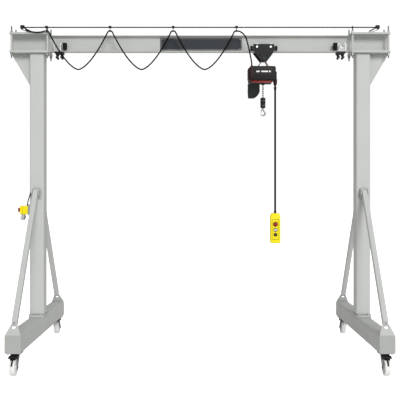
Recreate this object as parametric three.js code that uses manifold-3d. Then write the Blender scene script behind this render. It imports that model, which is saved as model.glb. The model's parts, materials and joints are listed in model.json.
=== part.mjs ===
// Portable gantry crane: two A-shaped steel stands on castors carry a girder with an electric chain hoist.
// Units are millimetres. Origin: floor, under the middle of the girder. +X right, +Y away, +Z up.
import * as THREE from 'three';
import { mergeVertices } from 'three/addons/utils/BufferGeometryUtils.js';
import Module from 'manifold-3d';

const wasm = await Module();
wasm.setup();

// ---------------------------------------------------------------- driving dimensions
const SPAN = 4000;                       // column axis to column axis
const GAP = 0.3;                         // air left between pieces that rest on each other
const WALL = 8;                          // wall of the columns and base beams

const girder = { length: 4640, height: 200, flangeWidth: 100, flange: 8.5, web: 5.6, root: 12, z: 3700 };
const column = { size: 175, radius: 18, z0: 470, z1: 3675 };
const beam = { width: 175, height: 200, radius: 18, z0: 240, halfLength: 1215 };
const foot = { halfX: 87.5, halfY: 150, plate: 15, boltX: 55, boltY: 122, boltR: 8, nutR: 13, columnOpenR: 50,
  beamOpenR: 40 };
const head = { inner: -153, outer: 325, halfY: 130, plate: 25, gussetTip: 3284, gusset: 16 };
const clamp = { plate: 22, rodR: 9.5, holeR: 10.5, sleeveR: 12.5, nutR: 17, washerR: 19, rodX: [-135, 304],
  rodY: 103, rodLow: 3610, rodHigh: 4003, nutHeight: 16, washer: 4 };
const brace = { size: 60, wall: 4, y: -150, z: 1960, tilt: -34.75, tubeTop: 25, tubeEnd: 1700, pinHalf: 54,
  pinR: 8, pinNutR: 13, endPlate: 8, tongue: 8, tongueHalf: 28 };
const braceFoot = { top: 1712, low: 1856, topHalf: 30, lowHalf: 80, plate: 12, hole: 1762, holeR: 18,
  bolt: 1724, boltR: 6, nutR: 10, nutHeight: 8 };
const lug = { x: 39, thick: 8, padHalf: 54, pad: 8, padZ0: 1885, padZ1: 2022, cornerX: 20, cornerZ: 24 };
const castor = { y: 1110, trail: 55, wheelR: 90, wheelWidth: 62, boreR: 9, crownZ: 200, raceZ: 216, raceR: 50,
  forkHalf: 43, leg: 5, bridge: 7, hubHalf: 35, plateZ: 231, plateX: 80, plateY: 62, pinR: 8, pinHole: 9.2 };
const stop = { x: 1736, half: 50, jaw: 12, buffer: 48, bufferR: 43, bufferY: 62, bufferZ: 3762,
  seat: 8, cheekIn: 18, cheekOut: 106, cheekTop: 3806, jawTop: 3740, bar: 22, boltX: 28, boltY: 42 };
const wire = { y: -150, z: 3974, r: 7.2, half: 2158 };
const clip = { fixed: -1866, moving: [-1094, -326, 443], carriage: 19, half: 10, cableZ: 3930 };
const cable = { r: 8.5, sag: 468, bend: 1.6 };
const trolley = { x: 783, wheelX: 84, wheelZ: 3753, treadR: 44.2, plateY: 75, plate: 8, bolt: 3612,
  boltR: 10 };
const hoist = { x0: 611, x1: 930, z0: 3346, z1: 3516, halfY: 110, wall: 4, corner: 26, endHalf: 84,
  gland: 3294 };
const hanger = { left: -72, right: 64, foot: 10, leg: 14, plateY: 26, plate: 8, crown: 18 };
const tray = { x: 750, length: 268, halfY: 60, z0: 3312, wall: 5 };
const chain = { x: 778, top: 3345, low: 3137, wire: 7, pitch: 24, width: 24, bite: -0.6 };
const sprocket = { r: 34, z: 3404 };
const bag = { x0: 594, x1: 734, z0: 3136, z1: 3311, halfY: 70, wall: 3 };
const hook = { blockR: 32, blockTop: 3136, blockLow: 3012, low: 2909, bowlR: 27, steel: 19 };
const pendant = { x: 923, y: -60, top: 3285, cableR: 12, z0: 1344, z1: 1713, width: 125, depth: 85 };
const mainSwitch = { x: -2165, half: 52, halfY: 45, z0: 1699, z1: 1802, knobZ: 1752 };
const inlet = { x: -2181, tilt: 13, bodyR: 24, rimR: 29, socketR: 22 };
const supply = { r: 6, fromX: -2126, fromY: -20, toX: -2069, toZ: 1955, glandR: 11 };

// ---------------------------------------------------------------- materials
const paint = (color, roughness = 0.45, metalness = 0) =>
  new THREE.MeshStandardMaterial({ color, roughness, metalness });
const frameGrey = paint(0xc5c7c4);
const braceGrey = paint(0xced0cd);
const zinc = paint(0xb9bcbd, 0.35, 0.9);
const steel = paint(0x8f9193, 0.4, 0.9);
const charcoal = paint(0x303030, 0.5);
const rubber = paint(0x1c1c1c, 0.85);
const anthracite = paint(0x34373b, 0.5);
const signalRed = paint(0xa83228, 0.45);
const signalYellow = paint(0xf0e428, 0.5);
const plasticGrey = paint(0x8c8f92, 0.6);
const plasticWhite = paint(0xe6e6e3, 0.5);
const polyamide = paint(0xdcdcd8, 0.55);

// ---------------------------------------------------------------- geometry helpers
const block = (x0, x1, y0, y1, z0, z1) =>
  new THREE.BoxGeometry(x1 - x0, y1 - y0, z1 - z0)
    .translate((x0 + x1) / 2, (y0 + y1) / 2, (z0 + z1) / 2);

// A round bar centred at x, y, z along 'x', 'y' or 'z'.
function rod(axis, radius, length, x, y, z, sides = 8) {
  const bar = new THREE.CylinderGeometry(radius, radius, length, sides);
  if (axis === 'x') bar.rotateZ(-Math.PI / 2);
  if (axis === 'z') bar.rotateX(Math.PI / 2);
  return bar.translate(x, y, z);
}

// A hexagon nut or bolt head centred at x, y, z.
const nut = (axis, radius, height, x, y, z) => rod(axis, radius, height, x, y, z, 6);

const polygon = (points) => new THREE.Shape(points.map(([a, b]) => new THREE.Vector2(a, b)));

function roundedRectangle(width, height, radius) {
  const shape = new THREE.Shape();
  const [w, h] = [width / 2 - radius, height / 2 - radius];
  shape.moveTo(w + radius, -h);
  shape.absarc(w, h, radius, 0, Math.PI / 2);
  shape.absarc(-w, h, radius, Math.PI / 2, Math.PI);
  shape.absarc(-w, -h, radius, Math.PI, Math.PI * 1.5);
  shape.absarc(w, -h, radius, Math.PI * 1.5, Math.PI * 2);
  return shape;
}

const extrude = (shape, depth, curveSegments) =>
  new THREE.ExtrudeGeometry(shape, { depth, bevelEnabled: false, curveSegments });

// Extrusions of a shape drawn in the XY, XZ or YZ plane, between two values of the third axis.
const alongZ = (shape, z0, z1, arcs = 2) => extrude(shape, z1 - z0, arcs).translate(0, 0, z0);
const alongY = (shape, y0, y1, arcs = 2) =>
  extrude(shape, y1 - y0, arcs).rotateX(Math.PI / 2).translate(0, y1, 0);
const cyclic = new THREE.Matrix4().set(0, 0, 1, 0, 1, 0, 0, 0, 0, 1, 0, 0, 0, 0, 0, 1);
const alongX = (shape, x0, x1, arcs = 2) =>
  extrude(shape, x1 - x0, arcs).applyMatrix4(cyclic).translate(x0, 0, 0);

const disc = (radius, sides) => {
  const ring = [];
  for (let i = 0; i < sides; i += 1) {
    const turn = (i / sides) * Math.PI * 2;
    ring.push([radius * Math.cos(turn), radius * Math.sin(turn)]);
  }
  return polygon(ring);
};

// A round bar swept along a curve.
const sweep = (curve, radius, steps, sides = 8) =>
  new THREE.ExtrudeGeometry(disc(radius, sides), { steps, extrudePath: curve, bevelEnabled: false });

// A curve straight from point to point, so that a sweep has one section at each point.
class Polyline extends THREE.Curve {
  constructor(points) {
    super();
    this.points = points.map(([x, y, z]) => new THREE.Vector3(x, y, z));
  }

  getPoint(t, target = new THREE.Vector3()) {
    const place = t * (this.points.length - 1);
    const index = Math.min(Math.floor(place), this.points.length - 2);
    return target.lerpVectors(this.points[index], this.points[index + 1], place - index);
  }

  getPointAt(u, target) {
    return this.getPoint(u, target);
  }

  getTangentAt(u, target = new THREE.Vector3()) {
    const half = 0.5 / (this.points.length - 1);
    const ahead = this.getPoint(Math.min(u + half, 1));
    return target.subVectors(ahead, this.getPoint(Math.max(u - half, 0))).normalize();
  }
}

const smooth = (points) =>
  new THREE.CatmullRomCurve3(points.map(([x, y, z]) => new THREE.Vector3(x, y, z)), false, 'centripetal');

const lathe = (profile, sides) =>
  new THREE.LatheGeometry(profile.map(([r, h]) => new THREE.Vector2(r, h)), sides);

function toSolid(geometry) {
  if (geometry instanceof wasm.Manifold) return geometry;
  const bare = geometry.clone();
  bare.deleteAttribute('normal');
  bare.deleteAttribute('uv');
  const merged = mergeVertices(bare, 1e-3);
  return new wasm.Manifold(new wasm.Mesh({
    numProp: 3,
    vertProperties: new Float32Array(merged.attributes.position.array),
    triVerts: new Uint32Array(merged.index.array),
  }));
}

const join = (...pieces) => pieces.map(toSolid).reduce((sum, piece) => sum.add(piece));
const cut = (body, ...tools) => tools.map(toSolid).reduce((rest, tool) => rest.subtract(tool), toSolid(body));

function toGeometry(shape) {
  if (shape instanceof THREE.BufferGeometry) return shape;
  const mesh = shape.getMesh();
  const geometry = new THREE.BufferGeometry();
  geometry.setAttribute('position', new THREE.BufferAttribute(new Float32Array(mesh.vertProperties), 3));
  geometry.setIndex(new THREE.BufferAttribute(new Uint32Array(mesh.triVerts), 1));
  geometry.computeVertexNormals();
  return geometry;
}

function piece(parent, name, shape, material, x = 0, y = 0, z = 0) {
  const mesh = new THREE.Mesh(toGeometry(shape), material);
  mesh.name = name;
  mesh.position.set(x, y, z);
  parent.add(mesh);
  return mesh;
}

const crane = new THREE.Group();

// ---------------------------------------------------------------- girder
// Half of the I-section's right side, mirrored to make the whole outline.
function girderSection() {
  const { height, flangeWidth, flange, web, root } = girder;
  const quarter = [[flangeWidth / 2, 0], [flangeWidth / 2, flange], [web / 2 + root, flange],
    [web / 2 + root * 0.29, flange + root * 0.29], [web / 2, flange + root]];
  const right = [...quarter, ...quarter.map(([y, z]) => [y, height - z]).reverse()];
  const left = right.map(([y, z]) => [-y, z]).reverse();
  return polygon([...right, ...left]);
}
const girderShape = alongX(girderSection(), -girder.length / 2, girder.length / 2);
piece(crane, 'girder', girderShape, frameGrey, 0, 0, girder.z);

const panel = { x: 12, half: 504, y: -7.5, thick: 3, z: 3800, halfZ: 77 };
const panelShape = block(-panel.half, panel.half, 0, panel.thick, -panel.halfZ, panel.halfZ);
piece(crane, 'sign_plate', panelShape, anthracite, panel.x, panel.y, panel.z);

// ---------------------------------------------------------------- stands
// Each stand is drawn for the right side, with its outer side towards +X; the left one is turned half round.
const boltCircle = (xs, ys) => xs.flatMap((x) => ys.map((y) => [x, y]));
const footBolts = boltCircle([-foot.boltX, foot.boltX], [-foot.boltY, foot.boltY]);
const clampRods = boltCircle(clamp.rodX, [-clamp.rodY, clamp.rodY]);

function columnShape() {
  const { size, radius, z0, z1 } = column;
  const outer = roundedRectangle(size, size, radius);
  outer.holes.push(roundedRectangle(size - 2 * WALL, size - 2 * WALL, radius - WALL));
  const tube = alongZ(outer, z0, z1);
  const footPlate = cut(
    block(-foot.halfX, foot.halfX, -foot.halfY, foot.halfY, z0 - foot.plate, z0 + GAP),
    rod('z', foot.columnOpenR, 60, 0, 0, z0, 12),
    ...footBolts.map(([x, y]) => rod('z', foot.boltR + 1, 60, x, y, z0)),
  );
  const headPlate = cut(
    block(head.inner, head.outer, -head.halfY, head.halfY, z1, z1 + head.plate - GAP),
    ...clampRods.map(([x, y]) => rod('z', clamp.holeR, 80, x, y, z1)),
  );
  const face = size / 2 - 1;
  const tip = head.outer - 6;
  const gusset = alongY(polygon([[face, z1 + 1], [tip, z1 + 1], [tip, z1 - 15], [face + 12, head.gussetTip],
    [face, head.gussetTip]]), -head.gusset / 2, head.gusset / 2);
  const lugs = [-1, 1].flatMap((front) => [-1, 1].map((side) => lugShape(side * lug.x, front)));
  const wallY = size / 2 + lug.pad;
  const pads = alongY(padOutline(), -wallY, wallY);
  const room = block(-face, face, -face, face, lug.padZ0 - 1, lug.padZ1 + 1);
  return join(tube, footPlate, headPlate, gusset, ...lugs, cut(pads, room));
}

// One of the two lugs that hold a brace's upper pin, on the front (-1) or the back (1) of the column.
function lugShape(x, front) {
  const side = [[86, 1895], [150, 1922], [176, 1938], [184, 1960], [176, 1984], [150, 2002], [86, 2018]];
  const outline = polygon(side.map(([y, z]) => [front * y, z]));
  return cut(alongX(outline, x - lug.thick / 2, x + lug.thick / 2),
    rod('x', brace.pinR + 0.6, 40, x, -front * brace.y, brace.z));
}

// The pad under the lugs, with its upper corners cut off.
function padOutline() {
  const { padHalf, padZ0, padZ1, cornerX, cornerZ } = lug;
  return polygon([[-padHalf, padZ0], [padHalf, padZ0], [padHalf, padZ1 - cornerZ], [padHalf - cornerX, padZ1],
    [cornerX - padHalf, padZ1], [-padHalf, padZ1 - cornerZ]]);
}

// The brace's foot plate, in the brace's own frame: origin at the upper pin, axis down -Z.
function braceFootPlate() {
  const { top, low, topHalf, lowHalf, plate, hole, holeR, bolt, boltR } = braceFoot;
  const outline = polygon([[-topHalf, -top], [topHalf, -top], [lowHalf, -low], [-lowHalf, -low]]);
  return cut(alongY(outline, -plate / 2, plate / 2),
    rod('y', holeR, 40, 0, 0, -hole, 16), rod('y', boltR + 0.6, 40, 0, 0, -bolt));
}

function castorPlate() {
  const { plateX, plateY, plateZ, raceR, raceZ, pinR } = castor;
  const plate = block(-plateX, plateX, -plateY, plateY, plateZ, beam.z0 + 1);
  const race = alongZ(disc(raceR, 12), raceZ, plateZ + 1);
  const pin = rod('z', pinR, 50, 0, 0, 211);
  const pinNut = nut('z', 14, 10, 0, 0, 191);
  return join(plate, race, pin, pinNut);
}

function beamShape() {
  const { width, height, radius, z0, halfLength } = beam;
  const z1 = z0 + height;
  const outer = roundedRectangle(width, height, radius);
  outer.holes.push(roundedRectangle(width - 2 * WALL, height - 2 * WALL, radius - WALL));
  const tube = alongY(outer, -halfLength + 6, halfLength - 6).translate(0, 0, z0 + height / 2);
  const cap = alongY(roundedRectangle(width, height, radius), 0, 6 + 1).translate(0, 0, z0 + height / 2);
  const caps = [cap.clone().translate(0, -halfLength, 0), cap.translate(0, halfLength - 7, 0)];
  const plate = block(-foot.halfX, foot.halfX, -foot.halfY, foot.halfY, z1 - 1, z1 + foot.plate - GAP);
  const studs = footBolts.flatMap(([x, y]) => [
    rod('z', foot.boltR, 60, x, y, z1 + 20), nut('z', foot.nutR, 12, x, y, z1 + 30 + GAP + 6)]);
  const toFrame = (front) => new THREE.Matrix4().makeRotationZ(front > 0 ? Math.PI : 0)
    .multiply(new THREE.Matrix4().makeTranslation(0, brace.y, brace.z))
    .multiply(new THREE.Matrix4().makeRotationX(THREE.MathUtils.degToRad(brace.tilt)));
  const footPlates = [-1, 1].map((front) => {
    const plateGeometry = toGeometry(braceFootPlate());
    return plateGeometry.applyMatrix4(toFrame(front));
  });
  const castorPlates = [-1, 1].map((side) => toGeometry(castorPlate()).translate(0, side * castor.y, 0));
  const body = join(tube, ...caps, plate, ...studs, ...footPlates, ...castorPlates);
  return cut(body, rod('z', foot.beamOpenR, 60, 0, 0, z1, 12));
}

function braceShape() {
  const { size, wall, tubeTop, tubeEnd, pinHalf, pinR, pinNutR, tongueHalf } = brace;
  const { bolt, boltR, nutR, nutHeight } = braceFoot;
  const outer = roundedRectangle(size, size, 6);
  outer.holes.push(roundedRectangle(size - 2 * wall, size - 2 * wall, 3));
  const tube = alongZ(outer, -tubeEnd, tubeTop, 2);
  const endPlate = block(-size / 2, size / 2, -size / 2, size / 2, -tubeEnd - brace.endPlate,
    -tubeEnd + 1);
  const front = -braceFoot.plate / 2 - GAP;
  const tongue = block(-tongueHalf, tongueHalf, front - brace.tongue, front, -bolt - 16,
    1 - tubeEnd - brace.endPlate);
  const footBolt = join(rod('y', boltR, 44, 0, front + 4, -bolt),
    nut('y', nutR, nutHeight, 0, front - 11.5, -bolt),
    nut('y', nutR, nutHeight, 0, nutHeight / 2 - front, -bolt));
  const pin = join(rod('x', pinR, 2 * pinHalf, 0, 0, 0),
    nut('x', pinNutR, 10, pinHalf - 5.5, 0, 0), nut('x', pinNutR, 10, 5.5 - pinHalf, 0, 0));
  return join(tube, endPlate, tongue, footBolt, pin);
}

function clampShape() {
  const low = girder.z + girder.height + GAP;
  const plate = block(head.inner, head.outer, -head.halfY, head.halfY, low, low + clamp.plate);
  const hardware = clampRods.flatMap(([x, y]) => {
    const { rodR, sleeveR, nutR, washerR, rodLow, rodHigh, nutHeight, washer } = clamp;
    const nutMiddle = washer - 1 + nutHeight / 2;
    const under = column.z1 - GAP;
    const above = low + clamp.plate;
    return [rod('z', rodR, rodHigh - rodLow, x, y, (rodLow + rodHigh) / 2),
      rod('z', sleeveR, low - girder.z + 1, x, y, (low + girder.z + 1) / 2),
      rod('z', washerR, washer, x, y, above + washer / 2 - 0.5),
      nut('z', nutR, nutHeight, x, y, above + nutMiddle),
      rod('z', washerR, washer, x, y, under - washer / 2),
      nut('z', nutR, nutHeight, x, y, under - nutMiddle)];
  });
  return join(plate, ...hardware);
}

// Jaw on the girder's lower flange with a cheek on each side of the web for the rubber buffers.
function stopShape() {
  const { half, jaw, seat, cheekIn, cheekOut, cheekTop, jawTop, bar: barHeight, boltX, boltY } = stop;
  const under = girder.z - GAP;
  const above = girder.z + girder.flange + GAP;
  const edge = girder.flangeWidth / 2 + 1;
  const low = under - barHeight;
  const face = seat - half;
  const bar = block(-half, half, -edge - jaw, edge + jaw, low, under);
  const ribOutline = polygon([[-half, above], [half, above], [half, above + 18], [face, cheekTop - 2],
    [-half, cheekTop - 2]]);
  const sides = [-1, 1].flatMap((front) => {
    const span = (a, b) => (front < 0 ? [-b, -a] : [a, b]);
    const bolts = [-boltX, boltX].flatMap((x) => [
      rod('z', 7, 66, x, front * boltY, low - 28), nut('z', 13, 12, x, front * boltY, low - 5)]);
    return [block(-half, half, ...span(edge, edge + jaw), low, jawTop),
      block(-half, half, ...span(cheekIn, edge + jaw), above, above + 14),
      block(-half, face, ...span(cheekIn, cheekOut), above, cheekTop),
      alongY(ribOutline, ...span(52, 60)),
      ...bolts];
  });
  return join(bar, ...sides);
}

const bufferShape = () => join(
  rod('x', stop.bufferR, stop.buffer - 12, -stop.buffer / 2, 0, 0, 16),
  rod('x', stop.bufferR - 7, stop.buffer - GAP, -stop.buffer / 2 - GAP / 2, 0, 0, 16));

function wireBracketShape() {
  const plateTop = girder.z + girder.height + 2 * GAP + clamp.plate;
  const strip = alongY(polygon([[56, plateTop], [98, plateTop], [186, 3958], [186, 3966], [96, plateTop + 8],
    [56, plateTop + 8]]), -138, -96);
  const grip = block(134, 184, -164, -136, 3960, 4000);
  const strutLine = new THREE.LineCurve3(new THREE.Vector3(66, -120, 3932),
    new THREE.Vector3(140, -140, 3972));
  const strut = sweep(strutLine, 7, 1);
  return cut(join(strip, grip, strut), rod('x', wire.r + 0.6, 160, 159, wire.y, wire.z, 12));
}

function castorFork() {
  const { trail, wheelR, crownZ, raceZ, raceR, forkHalf, leg, bridge: bridgeHeight, pinR, pinHole } = castor;
  const bore = rod('z', pinHole, 60, 0, 0, crownZ);
  const bridgeTop = crownZ + bridgeHeight;
  const crown = cut(alongZ(disc(raceR - 2, 12), crownZ, raceZ - GAP), bore);
  const bridge = cut(block(-forkHalf, forkHalf, -42, 34, crownZ, bridgeTop), bore);
  const legOutline = polygon([[-42, bridgeTop], [34, bridgeTop], [34, crownZ - 14], [-28, 92], [-38, 70],
    [-trail, 64], [-trail - 18, 70], [-trail - 25, 90], [-62, 140]]);
  const legs = [-forkHalf, forkHalf - leg].map((x) => alongX(legOutline, x, x + leg));
  const nuts = [-1, 1].map((side) => nut('x', 13, 8, side * (forkHalf + 3), -trail, wheelR));
  const axle = join(rod('x', pinR, 2 * forkHalf + 18, 0, -trail, wheelR), ...nuts);
  const pedal = block(-forkHalf - leg, forkHalf + leg, -96, -40, crownZ - 2, bridgeTop + 1);
  return join(crown, bridge, ...legs, axle, pedal);
}

function castorWheel() {
  const { wheelR, wheelWidth, boreR, hubHalf } = castor;
  const half = wheelWidth / 2;
  const upper = [[boreR, hubHalf], [24, hubHalf], [26, 10], [64, 10], [68, half], [wheelR, half - 5]];
  const lower = upper.map(([r, h]) => [r, -h]).reverse();
  return lathe([...upper, ...lower, upper[0]].reverse(), 16).rotateZ(-Math.PI / 2);
}

for (const [side, x, turn] of [['left', -SPAN / 2, Math.PI], ['right', SPAN / 2, 0]]) {
  const stand = new THREE.Group();
  stand.position.x = x;
  stand.rotation.z = turn;
  crane.add(stand);
  piece(stand, `${side}_column`, columnShape(), frameGrey);
  piece(stand, `${side}_base_beam`, beamShape(), frameGrey);
  piece(stand, `${side}_girder_clamp`, clampShape(), zinc);
  piece(stand, `${side}_end_stop`, stopShape(), zinc, stop.x - SPAN / 2);
  for (const [place, direction] of [['front', -1], ['back', 1]]) {
    const local = turn ? -direction : direction;
    const bufferX = stop.x - stop.half - SPAN / 2 - GAP;
    const bufferY = local * stop.bufferY;
    piece(stand, `${side}_${place}_buffer`, bufferShape(), rubber, bufferX, bufferY, stop.bufferZ);

    const turned = new THREE.Group();
    turned.rotation.z = local > 0 ? Math.PI : 0;
    stand.add(turned);
    const strut = piece(turned, `${side}_${place}_brace`, braceShape(), braceGrey, 0, brace.y, brace.z);
    strut.rotation.x = THREE.MathUtils.degToRad(brace.tilt);
    const corner = `${side}_${place}_castor`;
    piece(turned, `${corner}_fork`, castorFork(), zinc, 0, -castor.y, 0);
    piece(turned, `${corner}_wheel`, castorWheel(), polyamide, 0, -castor.y - castor.trail, castor.wheelR);
  }
}

// ---------------------------------------------------------------- festoon line
for (const [side, direction] of [['left', -1], ['right', 1]]) {
  const bracket = wireBracketShape();
  const mirrored = direction < 0 ? bracket.mirror([1, 0, 0]) : bracket;
  piece(crane, `${side}_wire_bracket`, mirrored, plasticGrey, direction * SPAN / 2);
}
piece(crane, 'festoon_wire', rod('x', wire.r, 2 * wire.half, 0, 0, 0, 12), rubber, 0, wire.y, wire.z);

function clipShape() {
  const { carriage, half, cableZ } = clip;
  const drop = cableZ - wire.z;
  const room = cable.r + 0.8;
  const edge = room + 2.7;
  const roller = block(-carriage, carriage, -edge, edge, -edge, 18);
  const stem = block(-5, 5, -5, 5, drop + edge - 1, 1 - edge);
  const saddle = block(-half, half, -edge, edge, drop - edge, drop + edge);
  return cut(join(roller, stem, saddle), rod('x', wire.r + 0.6, 60, 0, 0, 0, 12),
    block(-half - 1, half + 1, -room, room, drop - room, drop + room));
}
piece(crane, 'fixed_cable_clip', clipShape(), rubber, clip.fixed, wire.y, wire.z);
clip.moving.forEach((x, index) => {
  piece(crane, `cable_clip_${index + 1}`, clipShape(), rubber, x, wire.y, wire.z);
});

// One loop of cable hanging between two clips; both ends run level through the clips.
function loopPoints(x0, x1, sag) {
  const steps = 10;
  const level = clip.half + 5;
  const inset = level + 12;
  const points = [[x0 - level, 0], [x0 + level, 0]];
  for (let i = 0; i <= steps; i += 1) {
    const t = i / steps;
    const depth = 1 - Math.abs(2 * t - 1) ** cable.bend;
    points.push([x0 + inset + t * (x1 - x0 - 2 * inset), -12 - depth * (sag - 12)]);
  }
  return points.map(([x, drop]) => [x, wire.y, clip.cableZ + drop]);
}

function festoonPath() {
  const [first, second, third] = clip.moving;
  const level = clip.half + 5;
  const inWirePlane = ([x, z]) => [x, wire.y, z];
  const lead = [[-2124, 3952], [-2100, 3938], [-2050, 3922], [-1985, 3914], [-1930, 3919], [-1900, 3927]];
  const fall = [[third - level, clip.cableZ], [third + level, clip.cableZ], [486, 3925], [511, 3908],
    [535, 3886], [559, 3848], [572, 3806], [590, 3736], [602, 3675], [616, 3610], [626, 3560]];
  const entry = [[630, -138, 3536], [632, -95, hoist.z1 + 10]];
  return new Polyline([...lead.map(inWirePlane), ...loopPoints(clip.fixed, first, cable.sag),
    ...loopPoints(first, second, cable.sag), ...loopPoints(second, third, cable.sag),
    ...fall.map(inWirePlane), ...entry]);
}
const festoon = festoonPath();
piece(crane, 'festoon_cable', sweep(festoon, cable.r, festoon.points.length - 1, 5), rubber);

// ---------------------------------------------------------------- trolley
function trolleyPlate(front) {
  const { wheelX, wheelZ, plateY, plate, bolt, boltR } = trolley;
  const span = (a, b) => (front < 0 ? [-b, -a] : [a, b]);
  const right = [[38, 3589], [46, 3597], [128, 3703], [128, 3782], [122, 3787]];
  const outline = polygon([...right, ...right.map(([x, z]) => [-x, z]).reverse()]);
  const bumpers = [[-166, -127], [127, 166]].map((along) =>
    block(...along, ...span(62, plateY + 14), 3706, 3764));
  return cut(join(alongY(outline, ...span(plateY, plateY + plate)), ...bumpers),
    rod('y', 12.8, 40, wheelX, front * plateY, wheelZ, 16),
    rod('y', 12.8, 40, -wheelX, front * plateY, wheelZ, 16),
    rod('y', boltR + 0.9, 40, 0, front * plateY, bolt, 12));
}

function trolleyWheel(front) {
  const { treadR, plateY, plate } = trolley;
  const profile = [[0, 24], [treadR, 24], [treadR, 51], [51, 52], [51, 57], [20, 59], [20, plateY - GAP],
    [12, plateY - GAP], [12, plateY + plate + GAP], [14, plateY + plate + GAP], [14, 91], [0, 91]];
  return lathe(profile, 16).rotateZ(front < 0 ? Math.PI : 0);
}

for (const [place, front] of [['front', -1], ['back', 1]]) {
  piece(crane, `trolley_${place}_plate`, trolleyPlate(front), charcoal, trolley.x);
  for (const [end, side] of [['left', -1], ['right', 1]]) {
    piece(crane, `trolley_${place}_${end}_wheel`, trolleyWheel(front), zinc,
      trolley.x + side * trolley.wheelX, 0, trolley.wheelZ);
  }
}

// The bolt that carries the hoist, with a nut and a spacer collar at each trolley plate.
function suspensionBolt() {
  const end = trolley.plateY + trolley.plate + GAP;
  const ends = [-1, 1].flatMap((side) => [nut('y', 16, 12, 0, side * (end + 6), 0),
    rod('y', 16, 30, 0, side * (end - 24), 0, 12)]);
  return join(rod('y', trolley.boltR, 2 * end + 24, 0, 0, 0, 12), ...ends);
}
piece(crane, 'suspension_bolt', suspensionBolt(), steel, trolley.x, 0, trolley.bolt);

// ---------------------------------------------------------------- hoist
const hoistMid = (hoist.x0 + hoist.x1) / 2;
const hoistWidth = hoist.x1 - hoist.x0;
const hoistHeight = hoist.z1 - hoist.z0;
const bagThroat = [bag.x0 + 30, bag.x1 - 30, -40, 40];

function hoistHousing() {
  const { x0, x1, halfY, wall, corner, z0, z1, endHalf, gland } = hoist;
  const above = 40;                      // the front outline starts above the top, which stays square
  const plan = roundedRectangle(hoistWidth, 2 * halfY, corner);
  const front = roundedRectangle(hoistWidth, hoistHeight + above, corner);
  const shell = toSolid(alongZ(plan, z0, z1)).intersect(toSolid(alongY(front, -halfY, halfY)
    .translate(0, 0, z1 - (hoistHeight + above) / 2))).translate(hoistMid, 0, 0);
  const hollow = roundedRectangle(hoistWidth - 2 * wall, 2 * (halfY - wall), corner - wall);
  const inner = alongZ(hollow, z0 + wall, z1 - 14).translate(hoistMid, 0, 0);
  const gearCover = block(x0 - 21, x0 + 2, -endHalf, endHalf, z0 + 4, z1 - 16);
  const fanCover = block(x1 - 2, x1 + 12, -endHalf, endHalf, z0 - 16, z1 - 64);
  const cableGland = rod('z', 20, z0 + 2 - gland, pendant.x, pendant.y, (z0 + 2 + gland) / 2, 16);
  return cut(join(shell, gearCover, fanCover, cableGland), inner,
    rod('z', 15, 60, chain.x, 0, z0, 16), block(...bagThroat, z0 - 10, z0 + 10));
}
piece(crane, 'hoist_housing', hoistHousing(), charcoal);

function hoistBottom() {
  const { x, length, halfY, z0, wall } = tray;
  const outer = alongZ(roundedRectangle(length, 2 * halfY, 20), z0, hoist.z0 - GAP);
  const inner = alongZ(roundedRectangle(length - 2 * wall, 2 * (halfY - wall), 15), z0 + wall, hoist.z0 + 1);
  return cut(cut(outer, inner).translate(x, 0, 0),
    rod('z', 17, 60, chain.x, 0, z0, 20), block(...bagThroat, z0 - 10, z0 + 10));
}
piece(crane, 'hoist_bottom_cover', hoistBottom(), signalRed);

// Two open upright frames on a base strip; each carries the suspension bolt at its crown.
function hoistHanger() {
  const { left, right, foot: step, leg, plateY, plate, crown } = hanger;
  const low = hoist.z1 + GAP;
  const bolt = trolley.bolt;
  const outline = polygon([[left, low], [left, low + step], [-crown - 4, bolt - 8], [-crown, bolt + 6],
    [-10, bolt + crown], [10, bolt + crown], [crown, bolt + 6], [crown + 4, bolt - 8], [right, low + step],
    [right, low]]);
  const window = polygon([[left + leg, low + step], [right - leg, low + step], [leg, bolt - 24],
    [-crown, bolt - 24]]);
  const frames = [-plateY - plate, plateY].map((y) => cut(alongY(outline, y, y + plate),
    rod('y', 11.2, 30, 0, y + plate / 2, bolt, 12), alongY(window, y - 1, y + plate + 1)));
  return join(block(left - 8, right + 8, -40, 40, low, low + 6), ...frames);
}
piece(crane, 'hoist_hanger', hoistHanger(), steel, trolley.x);

const motorShape = join(rod('y', 60, 150, 0, 0, 0, 20), rod('y', 12, 178, 0, 0, 0));
piece(crane, 'hoist_motor', motorShape, steel, 850, 0, 3424);

// The load chain leaves the right of the sprocket; the slack side falls into the bag on its left.
const sprocketShape = cut(rod('y', sprocket.r, 34, 0, 0, 0, 16), rod('y', 9, 60, 0, 0, 0));
piece(crane, 'chain_sprocket', sprocketShape, steel, chain.x - sprocket.r - chain.wire / 2, 0, sprocket.z);

function chainBag() {
  const { x0, x1, z0, z1, halfY, wall } = bag;
  const outline = (inset, top) => polygon([[x0 + inset, top], [x0 + inset, z0 + 6 + inset],
    [x0 + 6 + inset, z0 + inset], [x0 + 78, z0 + inset], [x1 - 22 - inset, z0 + 30 + inset],
    [x1 - inset, z0 + 62], [x1 - inset, top]]);
  const inner = alongY(outline(wall, z1 + 5), -halfY + wall, halfY - wall);
  return cut(alongY(outline(0, z1), -halfY, halfY), inner);
}
piece(crane, 'chain_bag', chainBag(), anthracite);

// ---------------------------------------------------------------- load chain and hook
function chainLink(index) {
  const { wire: thick, pitch, width, bite } = chain;
  const length = pitch + 2 * thick + 2 * bite;
  const outline = roundedRectangle(width, length, width / 2 - 0.5);
  outline.holes.push(roundedRectangle(width - 2 * thick, length - 2 * thick, width / 2 - thick - 0.5));
  const link = alongY(outline, -thick / 2, thick / 2);
  if (index % 2) link.rotateZ(Math.PI / 2);
  return link.translate(0, 0, -index * pitch);
}
const linkCount = Math.floor((chain.top - chain.low) / chain.pitch);
const links = Array.from({ length: linkCount }, (_, index) => chainLink(index));
piece(crane, 'load_chain', join(...links), zinc, chain.x, 0, chain.top - chain.pitch / 2);

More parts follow.
